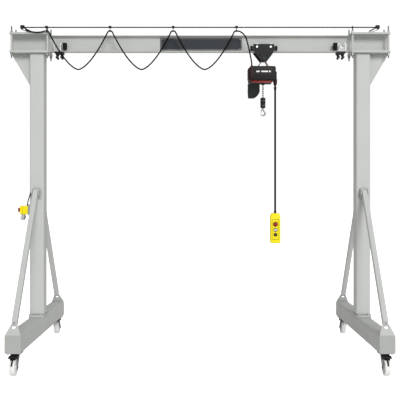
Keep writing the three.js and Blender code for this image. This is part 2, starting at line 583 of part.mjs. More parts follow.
function hookBlock() {
  const { blockR, blockTop, blockLow } = hook;
  const body = rod('z', blockR, blockTop - blockLow, 0, 0, (blockTop + blockLow) / 2, 28);
  return cut(body, rod('z', 14, 40, 0, 0, blockTop), rod('z', 11, 60, 0, 0, blockLow));
}
piece(crane, 'hook_block', hookBlock(), charcoal, chain.x);

// The hook hangs in the XZ plane: shank, then a bowl open to the left.
function hookShape() {
  const { blockLow, low, bowlR, steel: thick } = hook;
  const centre = low + bowlR + thick / 2;
  const bowl = [];
  for (let i = 0; i <= 9; i += 1) {
    const turn = THREE.MathUtils.degToRad(70 - i * 26);
    bowl.push([bowlR * Math.cos(turn), 0, centre + bowlR * Math.sin(turn)]);
  }
  const path = smooth([[0, 0, blockLow + 4], [2, 0, blockLow - 14], ...bowl]);
  const shank = join(rod('z', 9.5, 44, 0, 0, blockLow + 4, 12), rod('z', 17, 8, 0, 0, blockLow - 6, 12));
  return join(sweep(path, thick / 2, 16, 8), shank);
}
piece(crane, 'hook', hookShape(), steel, chain.x);

const latch = { x: -14, z: 2988, length: 43, angle: 104.5 };
const latchShape = () => join(rod('y', 5, 24, 0, 0, 0, 12), block(0, latch.length, -7, 7, -2, 2));
const latchMesh = piece(crane, 'hook_latch', latchShape(), zinc, chain.x + latch.x, 0, latch.z);
latchMesh.rotation.y = THREE.MathUtils.degToRad(latch.angle);

// ---------------------------------------------------------------- pendant control
function pendantCable() {
  const { top, z1, cableR } = pendant;
  const cord = rod('z', cableR, top - z1 - 2 * GAP, 0, 0, (top + z1) / 2, 16);
  const guard = lathe([[0, -62], [cableR + 3, -62], [20, 0], [0, 0]], 16).rotateX(Math.PI / 2);
  return join(cord, guard.translate(0, 0, top - GAP));
}
piece(crane, 'pendant_cable', pendantCable(), rubber, pendant.x, pendant.y);

function pendantHousing() {
  const { width, depth, z0, z1 } = pendant;
  const half = width / 2;
  const right = [[half - 10, z0], [half, z0 + 10], [half, z1 - 36], [half - 8, z1 - 16], [half - 22, z1 - 3],
    [34, z1]];
  const front = polygon([...right, ...right.map(([x, z]) => [-x, z]).reverse()]);
  const wells = buttons.map(({ z, r }) => rod('y', r * 0.6, 30, 0, -depth / 2, z, 12));
  return cut(alongY(front, -depth / 2, depth / 2), ...wells);
}
const buttons = [
  { name: 'stop_button', z: 1578, r: 25, travel: 5, stand: 22, material: signalRed },
  { name: 'up_button', z: 1509, r: 16, travel: 4, stand: 12, material: plasticWhite },
  { name: 'down_button', z: 1450, r: 16, travel: 4, stand: 12, material: rubber },
];
piece(crane, 'pendant_housing', pendantHousing(), signalYellow, pendant.x, pendant.y);
for (const { name, z, r, travel, stand, material } of buttons) {
  const shut = -pendant.depth / 2 - travel - 1;
  const capDepth = stand - travel - 1;
  const stemLength = travel + 10;
  const cap = rod('y', r, capDepth, 0, shut - capDepth / 2, 0, 16);
  const stem = rod('y', r * 0.6 - 0.6, stemLength, 0, shut - 2 + stemLength / 2, 0, 12);
  piece(crane, name, join(cap, stem), material, pendant.x, pendant.y, z);
}

// ---------------------------------------------------------------- mains switch on the left column
const columnFace = -SPAN / 2 - column.size / 2 - GAP;
const switchLeft = mainSwitch.x - mainSwitch.half;
const switchRight = mainSwitch.x + mainSwitch.half;

function switchBox() {
  const { halfY, z0, z1 } = mainSwitch;
  const backPlate = block(switchRight - 1, columnFace, -60, 60, z0 - 14, z1 + 14);
  return join(block(switchLeft, switchRight, -halfY, halfY, z0, z1), backPlate);
}
piece(crane, 'switch_box', switchBox(), signalYellow);

const handleShape = join(rod('x', 27, 10, -5 - GAP, 0, 0, 24), rod('x', 15, 22, -20, 0, 0, 20),
  block(-31, -18, -8, 8, -25, 25));
piece(crane, 'switch_handle', handleShape, signalRed, switchLeft, 0, mainSwitch.knobZ);

// An appliance inlet under the switch box, open downwards and leaning outwards.
function powerInlet() {
  const { tilt, bodyR, rimR, socketR } = inlet;
  const body = join(rod('z', 18, 30, 0, 0, -6, 12), rod('z', bodyR, 44, 0, 0, -26, 16),
    rod('z', rimR, 26, 0, 0, -60, 16));
  const open = toGeometry(cut(body, rod('z', socketR, 40, 0, 0, -66, 12)));
  const turn = new THREE.Matrix4().makeRotationY(THREE.MathUtils.degToRad(tilt));
  return cut(open.applyMatrix4(turn), block(-80, 80, -60, 60, -GAP, 60));
}
piece(crane, 'power_inlet', powerInlet(), plasticGrey, inlet.x, 0, mainSwitch.z0);

function supplyCable() {
  const { r, fromX, fromY, toX, toZ, glandR } = supply;
  const front = -column.size / 2;
  const top = mainSwitch.z1 + GAP;
  const rise = smooth([[fromX, fromY, top + 4], [fromX + 2, fromY - 10, top + 38], [-2108, -66, 1872],
    [-2093, -97, 1898], [-2080, -114, 1928], [toX, front - 30, toZ], [toX, front - GAP, toZ]]);
  return join(sweep(rise, r, 14, 6), rod('z', glandR, 22, fromX, fromY, top + 11, 12),
    rod('y', glandR, 18, toX, front - 9 - GAP, toZ, 12));
}
piece(crane, 'supply_cable', supplyCable(), plasticGrey);

export default crane;
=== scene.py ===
"""Looks of the portable gantry crane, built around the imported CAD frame. Shapes are drawn in millimetres."""
import json
import math

import bmesh
import bpy
import numpy as np
from mathutils import Matrix, Vector
from mathutils.geometry import delaunay_2d_cdt

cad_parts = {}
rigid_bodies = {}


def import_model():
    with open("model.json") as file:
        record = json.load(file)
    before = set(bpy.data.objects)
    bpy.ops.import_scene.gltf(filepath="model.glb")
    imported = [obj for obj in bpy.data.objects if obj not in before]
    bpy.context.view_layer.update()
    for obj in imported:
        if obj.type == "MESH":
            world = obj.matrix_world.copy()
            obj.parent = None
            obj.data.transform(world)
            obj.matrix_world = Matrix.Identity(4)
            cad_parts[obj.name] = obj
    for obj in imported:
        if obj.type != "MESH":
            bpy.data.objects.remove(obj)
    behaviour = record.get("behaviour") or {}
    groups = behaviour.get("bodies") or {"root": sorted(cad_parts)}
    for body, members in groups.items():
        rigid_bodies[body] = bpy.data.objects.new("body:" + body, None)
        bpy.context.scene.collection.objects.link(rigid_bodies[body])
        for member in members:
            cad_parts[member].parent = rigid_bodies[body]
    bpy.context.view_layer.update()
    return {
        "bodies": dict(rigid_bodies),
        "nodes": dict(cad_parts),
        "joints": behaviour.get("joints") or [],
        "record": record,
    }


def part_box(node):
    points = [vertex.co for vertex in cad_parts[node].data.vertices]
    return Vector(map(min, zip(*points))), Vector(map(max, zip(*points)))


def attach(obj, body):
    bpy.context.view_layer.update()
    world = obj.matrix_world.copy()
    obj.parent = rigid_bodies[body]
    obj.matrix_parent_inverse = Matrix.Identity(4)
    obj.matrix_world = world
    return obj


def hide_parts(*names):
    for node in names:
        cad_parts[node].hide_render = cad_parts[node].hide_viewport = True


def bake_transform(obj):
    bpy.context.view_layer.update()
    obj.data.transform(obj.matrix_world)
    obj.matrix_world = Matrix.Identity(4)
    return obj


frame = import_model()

MM = 0.001


# ------------------------------------------------------------------ the frame, in millimetres
class Extent:
    """A CAD node's box at rest, in millimetres."""

    def __init__(self, node):
        low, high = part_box(node)
        self.x0, self.y0, self.z0 = (value / MM for value in low)
        self.x1, self.y1, self.z1 = (value / MM for value in high)
        self.cx = (self.x0 + self.x1) / 2
        self.cy = (self.y0 + self.y1) / 2
        self.cz = (self.z0 + self.z1) / 2


def joint(name):
    return next(item for item in frame["joints"] if item["name"] == name)


GIRDER = Extent("girder")
COLUMN_X = joint("right_front_castor_swivel")["pos_m"][0] / MM
SWIVEL_Y = -joint("right_front_castor_swivel")["pos_m"][1] / MM
TRAIL = -joint("right_front_castor_roll")["pos_m"][1] / MM - SWIVEL_Y
WHEEL_R = joint("right_front_castor_roll")["pos_m"][2] / MM
TROLLEY_X = joint("hoist_swing")["pos_m"][0] / MM
BOLT_Z = joint("hoist_swing")["pos_m"][2] / MM
CHAIN_X = joint("hook_swivel")["pos_m"][0] / MM


# ------------------------------------------------------------------ outlines and shells
def arc(cx, cy, radius, start, end, steps):
    turns = [math.radians(start + (end - start) * i / steps) for i in range(steps + 1)]
    return [(cx + radius * math.cos(t), cy + radius * math.sin(t)) for t in turns]


def circle(radius, cx=0.0, cy=0.0, sides=32):
    return arc(cx, cy, radius, 0, 360 - 360 / sides, sides - 1)


def rounded(width, height, radius, cx=0.0, cy=0.0, steps=6):
    w, h = width / 2 - radius, height / 2 - radius
    corners = [(w, h, 0), (-w, h, 90), (-w, -h, 180), (w, -h, 270)]
    return [p for x, y, a in corners for p in arc(cx + x, cy + y, radius, a, a + 90, steps)]


def soften(points, radius, steps=4):
    """The outline with each corner rounded, by a curve that starts and ends radius away from it."""
    result = []
    count = len(points)
    for i, corner in enumerate(points):
        c, before, after = Vector(corner), Vector(points[i - 1]), Vector(points[(i + 1) % count])
        r = min(radius, (before - c).length * 0.49, (after - c).length * 0.49)
        a, b = c + (before - c).normalized() * r, c + (after - c).normalized() * r
        for k in range(steps + 1):
            t = k / steps
            result.append(tuple(a * (1 - t) ** 2 + c * 2 * t * (1 - t) + b * t * t))
    return result


PLANES = {"x": (1, 2, 0), "y": (0, 2, 1), "z": (0, 1, 2)}


def lift(axis, u, v, w):
    """A point at u, v in the plane across axis, and w along it."""
    point = [0.0, 0.0, 0.0]
    for place, value in zip(PLANES[axis], (u, v, w)):
        point[place] = value
    return tuple(point)


def inside(point, ring):
    x, y = point
    hit = False
    for (x0, y0), (x1, y1) in zip(ring, ring[1:] + ring[:1]):
        if (y0 > y) != (y1 > y) and x < (x1 - x0) * (y - y0) / (y1 - y0) + x0:
            hit = not hit
    return hit


def prism(axis, outline, a0, a1, holes=()):
    """An outline pushed from a0 to a1 along axis, with holes through it."""
    rings = [outline, *holes]
    flat = [p for ring in rings for p in ring]
    count = len(flat)
    verts = [lift(axis, u, v, a0) for u, v in flat] + [lift(axis, u, v, a1) for u, v in flat]
    faces = []
    start = 0
    edges = []
    for ring in rings:
        n = len(ring)
        for i in range(n):
            j = (i + 1) % n
            faces.append((start + i, start + j, count + start + j, count + start + i))
            edges.append((start + i, start + j))
        start += n
    if not holes:
        faces += [tuple(range(count)), tuple(range(count, 2 * count))]
        return verts, faces
    _, _, triangles, origin, _, _ = delaunay_2d_cdt([Vector(p) for p in flat], edges, [], 1, 1e-6)
    for tri in triangles:
        a, b, c = tri
        middle = [sum(flat[k][d] for k in (a, b, c)) / 3 for d in (0, 1)]
        if inside(middle, outline) and not any(inside(middle, hole) for hole in holes):
            faces += [(a, b, c), (count + a, count + b, count + c)]
    return verts, faces


def block(x0, x1, y0, y1, z0, z1):
    return prism("z", [(x0, y0), (x1, y0), (x1, y1), (x0, y1)], z0, z1)


def lathe(axis, profile, at=(0, 0), sides=32, turn=0.0):
    """A profile of (radius, place along axis) turned about the axis; open profiles start and end on it."""
    verts, rings = [], []
    for radius, w in profile:
        if radius < 1e-6:
            rings.append([len(verts)])
            verts.append(lift(axis, at[0], at[1], w))
            continue
        rings.append(list(range(len(verts), len(verts) + sides)))
        for i in range(sides):
            angle = 2 * math.pi * i / sides + turn
            verts.append(lift(axis, at[0] + radius * math.cos(angle), at[1] + radius * math.sin(angle), w))
    pairs = list(zip(rings, rings[1:]))
    if len(rings[0]) > 1:
        pairs.append((rings[-1], rings[0]))
    faces = []
    for low, high in pairs:
        for i in range(sides):
            j = (i + 1) % sides
            quad = [low[i % len(low)], low[j % len(low)], high[j % len(high)], high[i % len(high)]]
            ring = list(dict.fromkeys(quad))
            if len(ring) > 2:
                faces.append(tuple(ring))
    return verts, faces


def rod(axis, radius, a0, a1, at=(0, 0), sides=24, chamfer=0.0):
    c = chamfer
    if not c:
        return lathe(axis, [(0, a0), (radius, a0), (radius, a1), (0, a1)], at, sides)
    return lathe(axis, [(0, a0), (radius - c, a0), (radius, a0 + c), (radius, a1 - c), (radius - c, a1), (0, a1)],
                 at, sides)


def nut(axis, across, a0, a1, at=(0, 0)):
    """A hexagon with its points turned off at both ends; across is the corner radius."""
    c = across * 0.1
    return lathe(axis, [(0, a0), (across - c, a0), (across, a0 + c), (across, a1 - c), (across - c, a1), (0, a1)],
                 at, 6)


def washer(axis, radius, a0, a1, at=(0, 0)):
    return rod(axis, radius, a0, a1, at, 24, min(0.6, (a1 - a0) * 0.3))


def threaded(axis, radius, a0, a1, at=(0, 0), pitch=2.5, sides=12):
    profile = [(0, a0), (radius * 0.8, a0)]
    turns = int((a1 - a0) / pitch)
    for i in range(turns):
        profile += [(radius * 0.88, a0 + i * pitch), (radius, a0 + (i + 0.5) * pitch)]
    profile += [(radius * 0.8, a1), (0, a1)]
    return lathe(axis, profile, at, sides)


def sweep(path, section, closed=False, scale=None):
    """A section of (u, v) points carried along a path without twisting."""
    points = [Vector(p) for p in path]
    count = len(points)
    tangents = []
    for i in range(count):
        if closed:
            step = points[(i + 1) % count] - points[i - 1]
        else:
            step = points[min(i + 1, count - 1)] - points[max(i - 1, 0)]
        tangents.append(step.normalized())
    first = tangents[0]
    side = Vector((0, 1, 0)) if abs(first.y) < 0.9 else Vector((1, 0, 0))
    normal = (side - first * side.dot(first)).normalized()
    verts, faces = [], []
    n = len(section)
    for i, (point, tangent) in enumerate(zip(points, tangents)):
        normal = (normal - tangent * normal.dot(tangent)).normalized()
        cross = tangent.cross(normal)
        s = scale[i] if scale else 1.0
        verts += [tuple(point + (normal * u + cross * v) * s) for u, v in section]
    spans = count if closed else count - 1
    for i in range(spans):
        a, b = i * n, ((i + 1) % count) * n
        faces += [(a + k, a + (k + 1) % n, b + (k + 1) % n, b + k) for k in range(n)]
    if not closed:
        faces += [tuple(range(n)), tuple(range((count - 1) * n, count * n))]
    return verts, faces


def tube(path, radius, sides=12, closed=False, scale=None):
    return sweep(path, circle(radius, sides=sides), closed, scale)


def smooth_path(points, steps=8):
    """A Catmull-Rom curve through the points."""
    p = [Vector(q) for q in points]
    p = [p[0] * 2 - p[1], *p, p[-1] * 2 - p[-2]]
    path = []
    for i in range(1, len(p) - 2):
        for k in range(steps):
            t = k / steps
            a, b, c, d = p[i - 1:i + 3]
            path.append(0.5 * (2 * b + (c - a) * t + (2 * a - 5 * b + 4 * c - d) * t * t
                               + (3 * b - a - 3 * c + d) * t ** 3))
    return [tuple(q) for q in path] + [tuple(p[-2])]


def moved(shell, matrix):
    verts, faces = shell
    return [tuple(matrix @ Vector(v)) for v in verts], faces


def shifted(shell, x=0.0, y=0.0, z=0.0):
    return moved(shell, Matrix.Translation((x, y, z)))


# ------------------------------------------------------------------ pieces
def build(name, shells, material, body, replaces=(), bevel=0.0, at=None, angle=32, segments=2):
    """One mesh object from closed shells, riding on a body."""
    verts, faces = [], []
    for shell_verts, shell_faces in shells:
        start = len(verts)
        verts += shell_verts
        faces += [tuple(start + k for k in face) for face in shell_faces]
    matrix = Matrix.Scale(MM, 4) @ (at or Matrix.Identity(4))
    mesh = bpy.data.meshes.new(name)
    mesh.from_pydata([matrix @ Vector(v) for v in verts], [], faces)
    shape = bmesh.new()
    shape.from_mesh(mesh)
    bmesh.ops.recalc_face_normals(shape, faces=shape.faces)
    shape.to_mesh(mesh)
    shape.free()
    mesh.materials.append(material)
    mesh.polygons.foreach_set("use_smooth", [True] * len(mesh.polygons))
    obj = bpy.data.objects.new(name, mesh)
    bpy.context.scene.collection.objects.link(obj)
    if bevel:
        modifier = obj.modifiers.new("edges", "BEVEL")
        modifier.width = bevel * MM
        modifier.segments = segments
        modifier.limit_method = "ANGLE"
        modifier.angle_limit = math.radians(angle)
        modifier.harden_normals = True
    else:
        mesh.set_sharp_from_angle(angle=math.radians(angle))
    if body:
        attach(obj, body)
    if replaces:
        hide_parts(*([replaces] if isinstance(replaces, str) else replaces))
    return obj


# ------------------------------------------------------------------ materials
def graph(name):
    material = bpy.data.materials.new(name)
    material.use_nodes = True
    nodes, links = material.node_tree.nodes, material.node_tree.links
    return material, nodes, links, nodes["Principled BSDF"]


def noise(nodes, links, vector, scale, detail=4.0, roughness=0.55):
    node = nodes.new("ShaderNodeTexNoise")
    node.inputs["Scale"].default_value = scale
    node.inputs["Detail"].default_value = detail
    node.inputs["Roughness"].default_value = roughness
    links.new(vector, node.inputs["Vector"])
    return node.outputs["Fac"]


def ranged(nodes, links, value, low, high, source=(0.3, 0.7)):
    node = nodes.new("ShaderNodeMapRange")
    node.inputs["From Min"].default_value, node.inputs["From Max"].default_value = source
    node.inputs["To Min"].default_value, node.inputs["To Max"].default_value = low, high
    links.new(value, node.inputs["Value"])
    return node.outputs["Result"]


def mixed(nodes, links, factor, first, second):
    """Mixes two colours; each is a socket or a tuple."""
    node = nodes.new("ShaderNodeMix")
    node.data_type = "RGBA"
    for index, value in ((6, first), (7, second)):
        if isinstance(value, tuple):
            node.inputs[index].default_value = (*value, 1.0)
        else:
            links.new(value, node.inputs[index])
    links.new(factor, node.inputs["Factor"])
    return node.outputs[2]


def linear(code):
    """An sRGB hex colour as linear light."""
    parts = [int(code[i:i + 2], 16) / 255 for i in (0, 2, 4)]
    return tuple(c / 12.92 if c < 0.04045 else ((c + 0.055) / 1.055) ** 2.4 for c in parts)


def tinted(colour, factor):
    return tuple(min(1.0, c * factor) for c in colour)


def surface(name, code, roughness, metallic=0.0, mottle=0.05, grain=0.25, grain_scale=900.0, stretch=None,
            wear_and_highlight=1.12, dust_and_shade=0.85, coat=0.0, slot_scale=3.0, gloss=0.5):
    """A finish with broad mottling, dust specks, fine grain in the bump and roughness, lighter convex rims that are
    partly wear and partly a painted highlight, and painted shade that darkens the recesses.
    """
    material, nodes, links, shader = graph(name)
    colour = linear(code)
    place = nodes.new("ShaderNodeTexCoord").outputs["Object"]
    fine_place = place
    if stretch:
        mapping = nodes.new("ShaderNodeMapping")
        mapping.inputs["Scale"].default_value = stretch
        links.new(place, mapping.inputs["Vector"])
        fine_place = mapping.outputs["Vector"]
    broad = noise(nodes, links, place, slot_scale)
    speckle = noise(nodes, links, place, 85.0, 6.0, 0.7)
    fine = noise(nodes, links, fine_place, grain_scale, 3.0)
    base = mixed(nodes, links, ranged(nodes, links, broad, 0.0, 1.0), tinted(colour, 1 - mottle),
                 tinted(colour, 1 + mottle))
    base = mixed(nodes, links, ranged(nodes, links, speckle, 0.0, 0.55, (0.52, 0.8)), base, tinted(colour, dust_and_shade))
    geometry = nodes.new("ShaderNodeNewGeometry")
    # Convex rims, found by high pointiness, are lightened: partly wear, partly a painted highlight.
    edge_wear_and_highlight = ranged(nodes, links, geometry.outputs["Pointiness"], 0.0, 0.8, (0.52, 0.62))
    base = mixed(nodes, links, edge_wear_and_highlight, base, tinted(colour, wear_and_highlight))
    # Painted shade: the recesses, found by low pointiness, are darkened.
    recess_shade = ranged(nodes, links, geometry.outputs["Pointiness"], 0.7, 0.0, (0.38, 0.49))
    base = mixed(nodes, links, recess_shade, base, tinted(colour, dust_and_shade * 0.8))
    links.new(base, shader.inputs["Base Color"])
    rough = ranged(nodes, links, fine, roughness * 0.82, min(1.0, roughness * 1.22))
    links.new(rough, shader.inputs["Roughness"])
    shader.inputs["Metallic"].default_value = metallic
    shader.inputs["Specular IOR Level"].default_value = gloss
    shader.inputs["Coat Weight"].default_value = coat
    shader.inputs["Coat Roughness"].default_value = 0.25
    bump = nodes.new("ShaderNodeBump")
    bump.inputs["Strength"].default_value = grain
    bump.inputs["Distance"].default_value = 0.0004
    links.new(fine, bump.inputs["Height"])
    links.new(bump.outputs["Normal"], shader.inputs["Normal"])
    return material


FRAME_PAINT = surface("frame_paint", "b7b9b6", 0.55, grain=0.18, grain_scale=420)
# A darker copy of the frame grey for the beam end caps: painted shade on the beam ends.
CAP_PAINTED_SHADE = surface("end_cap_painted_shade", "a6a8a5", 0.55, grain=0.18, grain_scale=420)
BRACE_PAINT = surface("brace_paint", "bbbdbb", 0.55, grain=0.18, grain_scale=420)
# A dark grey for the weld beads, so that they paint the shade along the joints of plates, tubes and flanges.
WELD_PAINTED_SHADE = surface("weld_painted_shade", "868885", 0.5, grain=0.8, grain_scale=220, mottle=0.08)
ZINC = surface("zinc", "c3c6c8", 0.34, 0.85, mottle=0.12, grain=0.12, slot_scale=40)
DULL_ZINC = surface("dull_zinc", "a4a7a8", 0.46, 0.7, mottle=0.14, grain=0.2, slot_scale=25)
STEEL = surface("steel", "8f9294", 0.38, 0.9, mottle=0.1, grain=0.25, stretch=(1, 1, 0.06), slot_scale=20)
DARK_STEEL = surface("blackened_steel", "343536", 0.42, 0.6, mottle=0.12, grain=0.25, slot_scale=30, gloss=0.2)
CHAIN_STEEL = surface("chain_steel", "5d6063", 0.36, 0.8, mottle=0.16, grain=0.2, slot_scale=60)
CHARCOAL = surface("charcoal_paint", "1d1e1e", 0.5, grain=0.3, grain_scale=520, wear_and_highlight=1.5, gloss=0.2)
HOUSING = surface("housing_paint", "201d1e", 0.48, grain=0.35, grain_scale=600, wear_and_highlight=1.5, gloss=0.2)
RUBBER = surface("black_rubber", "131414", 0.78, grain=0.5, grain_scale=1400, wear_and_highlight=1.5, mottle=0.15, gloss=0.2)
CABLE = surface("cable_jacket", "040404", 0.6, grain=0.35, grain_scale=1200, wear_and_highlight=1.3, mottle=0.15, gloss=0.06)
BLACK_PLASTIC = surface("black_plastic", "161718", 0.5, grain=0.4, grain_scale=1500, wear_and_highlight=1.4, gloss=0.2)
SIGN = surface("anthracite_plate", "2b2f33", 0.42, grain=0.15, mottle=0.04, wear_and_highlight=1.2, gloss=0.2)
BAG = surface("bag_plastic", "1d201f", 0.65, grain=0.7, grain_scale=700, wear_and_highlight=1.35, mottle=0.1, gloss=0.2)
RED_COVER = surface("red_cover", "96281f", 0.42, grain=0.2, mottle=0.08, wear_and_highlight=1.15, coat=0.2)
RED_PLASTIC = surface("red_plastic", "931a12", 0.36, grain=0.1, wear_and_highlight=1.12, gloss=0.3)
YELLOW = surface("yellow_plastic", "f3e00a", 0.46, gloss=0.25, grain=0.3, grain_scale=1300, mottle=0.03, dust_and_shade=0.92, wear_and_highlight=1.05)
GREY_PLASTIC = surface("grey_plastic", "85888b", 0.52, grain=0.3, grain_scale=1200)
PALE_PLASTIC = surface("pale_grey_plastic", "b4b6ba", 0.5, grain=0.3, grain_scale=1200)
WHITE_PLASTIC = surface("white_plastic", "e8e8e4", 0.36, grain=0.1, mottle=0.02, wear_and_highlight=1.03)
POLYAMIDE = surface("polyamide", "e8e9e7", 0.48, grain=0.25, grain_scale=700, mottle=0.04, dust_and_shade=0.8)
END_BROWN = surface("end_cover_paint", "2a1615", 0.46, grain=0.3, grain_scale=520, wear_and_highlight=1.4, gloss=0.2)
HANGER_STEEL = surface("hanger_steel", "7b6d6a", 0.45, 0.5, mottle=0.12, grain=0.25, gloss=0.3)
FORK_STEEL = surface("fork_steel", "7f8284", 0.42, 0.7, mottle=0.14, grain=0.2, slot_scale=25)
PALE_PRINT = surface("pale_print", "e9e9e6", 0.5, grain=0.1, mottle=0.02)


# ------------------------------------------------------------------ girder
def girder():
    height, half = GIRDER.z1 - GIRDER.z0, GIRDER.y1
    flange, web, root = 8.5, 2.8, 12.0
    quarter = [(half, 0), (half, flange), *arc(web + root, flange + root, root, 270, 180, 6)]
    right = quarter + [(y, height - z) for y, z in reversed(quarter)]
    outline = right + [(-y, z) for y, z in reversed(right)]
    shell = shifted(prism("x", outline, GIRDER.x0, GIRDER.x1), z=GIRDER.z0)
    build("girder_section", [shell], FRAME_PAINT, "frame", "girder", bevel=1.2)


def sign_plate():
    n = Extent("sign_plate")
    width, height = n.x1 - n.x0, n.z1 - n.z0
    corners = [(n.cx + sx * (width / 2 - 22), n.cz + sz * (height / 2 - 16)) for sx in (-1, 1) for sz in (-1, 1)]
    plate = prism("y", rounded(width, height, 10, n.cx, n.cz), n.y0 + 0.8, n.y1)
    build("sign_panel", [plate], SIGN, "frame", "sign_plate", bevel=0.6)
    rim = prism("y", rounded(width - 16, height - 16, 8, n.cx, n.cz), n.y0 + 0.2, n.y0 + 1.0,
                [rounded(width - 24, height - 24, 6, n.cx, n.cz)])
    build("sign_rim", [rim], GREY_PLASTIC, "frame")
    screws = [lathe("y", [(0, n.y0 - 1.4), (3.5, n.y0 - 1.2), (5.5, n.y0 + 0.9), (0, n.y0 + 0.9)], c, 16)
              for c in corners]
    build("sign_screws", screws, ZINC, "frame")


# ------------------------------------------------------------------ stands
STAND = {side: Matrix.Translation((sign * COLUMN_X, 0, 0)) @ Matrix.Scale(sign, 4, (1, 0, 0))
         for side, sign in (("left", -1), ("right", 1))}
COLUMN = Extent("right_column")
CLAMP = Extent("right_girder_clamp")
BEAM = Extent("right_base_beam")
COLUMN_SIZE = 175.0
HEAD_IN = COLUMN.x0 - COLUMN_X
HEAD_OUT = COLUMN.x1 - COLUMN_X
PLATE_Z = GIRDER.z0 - 25.0
BEAM_TOP = 440.0
BEAM_LOW = 240.0
FLANGE_TOP = 470.0
FOOT_BOLTS = [(x, y) for x in (-55, 55) for y in (-122, 122)]
CLAMP_RODS = [(x, y) for x in (-135, 304) for y in (-103, 103)]
ROD_HOLE = 10.5
BRACE_PIN = (150.0, 1960.0)
BRACE_TILT = math.radians(-34.75)


def bead(path, radius, closed=True, steps=3):
    """A weld bead: a thin rope whose girth ripples along its length."""
    points = [Vector(p) for p in path]
    fine = []
    pairs = zip(points, points[1:] + (points[:1] if closed else []))
    for a, b in pairs:
        pieces = max(1, int((b - a).length / (radius * 1.1)))
        fine += [tuple(a.lerp(b, k / pieces)) for k in range(pieces)]
    ripple = [1 + 0.14 * math.sin(i * 2.1) for i in range(len(fine))]
    return tube(fine, radius, 8, closed, ripple)


def column(side):
    half = COLUMN_SIZE / 2
    at = STAND[side]
    tube_shell = prism("z", rounded(COLUMN_SIZE, COLUMN_SIZE, 18, steps=8), FLANGE_TOP - 2, PLATE_Z + 2)
    build(f"{side}_column_tube", [tube_shell], FRAME_PAINT, "frame", f"{side}_column", at=at)
    rods = [circle(ROD_HOLE, x, y, 20) for x, y in CLAMP_RODS]
    head = prism("z", soften([(HEAD_IN, -130), (HEAD_OUT, -130), (HEAD_OUT, 130), (HEAD_IN, 130)], 10),
                 PLATE_Z, GIRDER.z0 - 0.3, rods)
    build(f"{side}_head_plate", [head], FRAME_PAINT, "frame", at=at, bevel=1.5)
    tip = HEAD_OUT - 6
    gusset = prism("y", soften([(half - 2, PLATE_Z + 1), (tip, PLATE_Z + 1), (tip, PLATE_Z - 16),
                                (half + 12, 3284), (half - 2, 3284)], 5), -8, 8)
    build(f"{side}_gusset", [gusset], FRAME_PAINT, "frame", at=at, bevel=1.5)
    foot = prism("z", rounded(COLUMN_SIZE, 300, 14), BEAM_TOP + 15, FLANGE_TOP,
                 [circle(9, x, y, 20) for x, y in FOOT_BOLTS])
    build(f"{side}_foot_flange", [foot], FRAME_PAINT, "frame", at=at, bevel=1.8)
    ears = []
    for front in (-1, 1):
        for offset in (-43, 35):
            outline = soften([(front * y, z) for y, z in ((86, 1895), (150, 1922), (176, 1938), (184, 1960),
                                                          (176, 1984), (150, 2002), (86, 2018))], 14)
            ears.append(prism("x", outline, offset, offset + 8, [circle(8.8, front * BRACE_PIN[0], BRACE_PIN[1], 20)]))
    build(f"{side}_brace_ears", ears, FRAME_PAINT, "frame", at=at, bevel=1.2)
    outline = soften([(-54, 1885), (54, 1885), (54, 1998), (34, 2022), (-34, 2022), (-54, 1998)], 12)
    pads = [prism("y", outline, *sorted((front * (half - 2), front * (half + 8)))) for front in (-1, 1)]
    build(f"{side}_brace_pads", pads, FRAME_PAINT, "frame", at=at, bevel=1.4)
    ring = rounded(COLUMN_SIZE + 4, COLUMN_SIZE + 4, 20, steps=6)
    beads = [bead([(x, y, FLANGE_TOP + 3) for x, y in ring], 6),
             bead([(x, y, PLATE_Z - 2) for x, y in ring], 4.5)]
    for y in (-9, 9):
        beads.append(bead([(half + 2, y, z) for z in (3290, PLATE_Z - 2)], 3.5, False))
        beads.append(bead([(x, y, PLATE_Z - 2) for x in (half + 2, tip - 4)], 3.5, False))
    for front in (-1, 1):
        for offset in (-44, 44):
            beads.append(bead([(offset, front * (half + 8), z) for z in (1902, 2008)], 3.0, False))
        beads.append(bead([(x, front * (half + 1), z) for x, z in outline], 4.0))
    # The weld beads carry the painted shade of the column joints.
    build(f"{side}_column_welds", beads, WELD_PAINTED_SHADE, "frame", at=at)


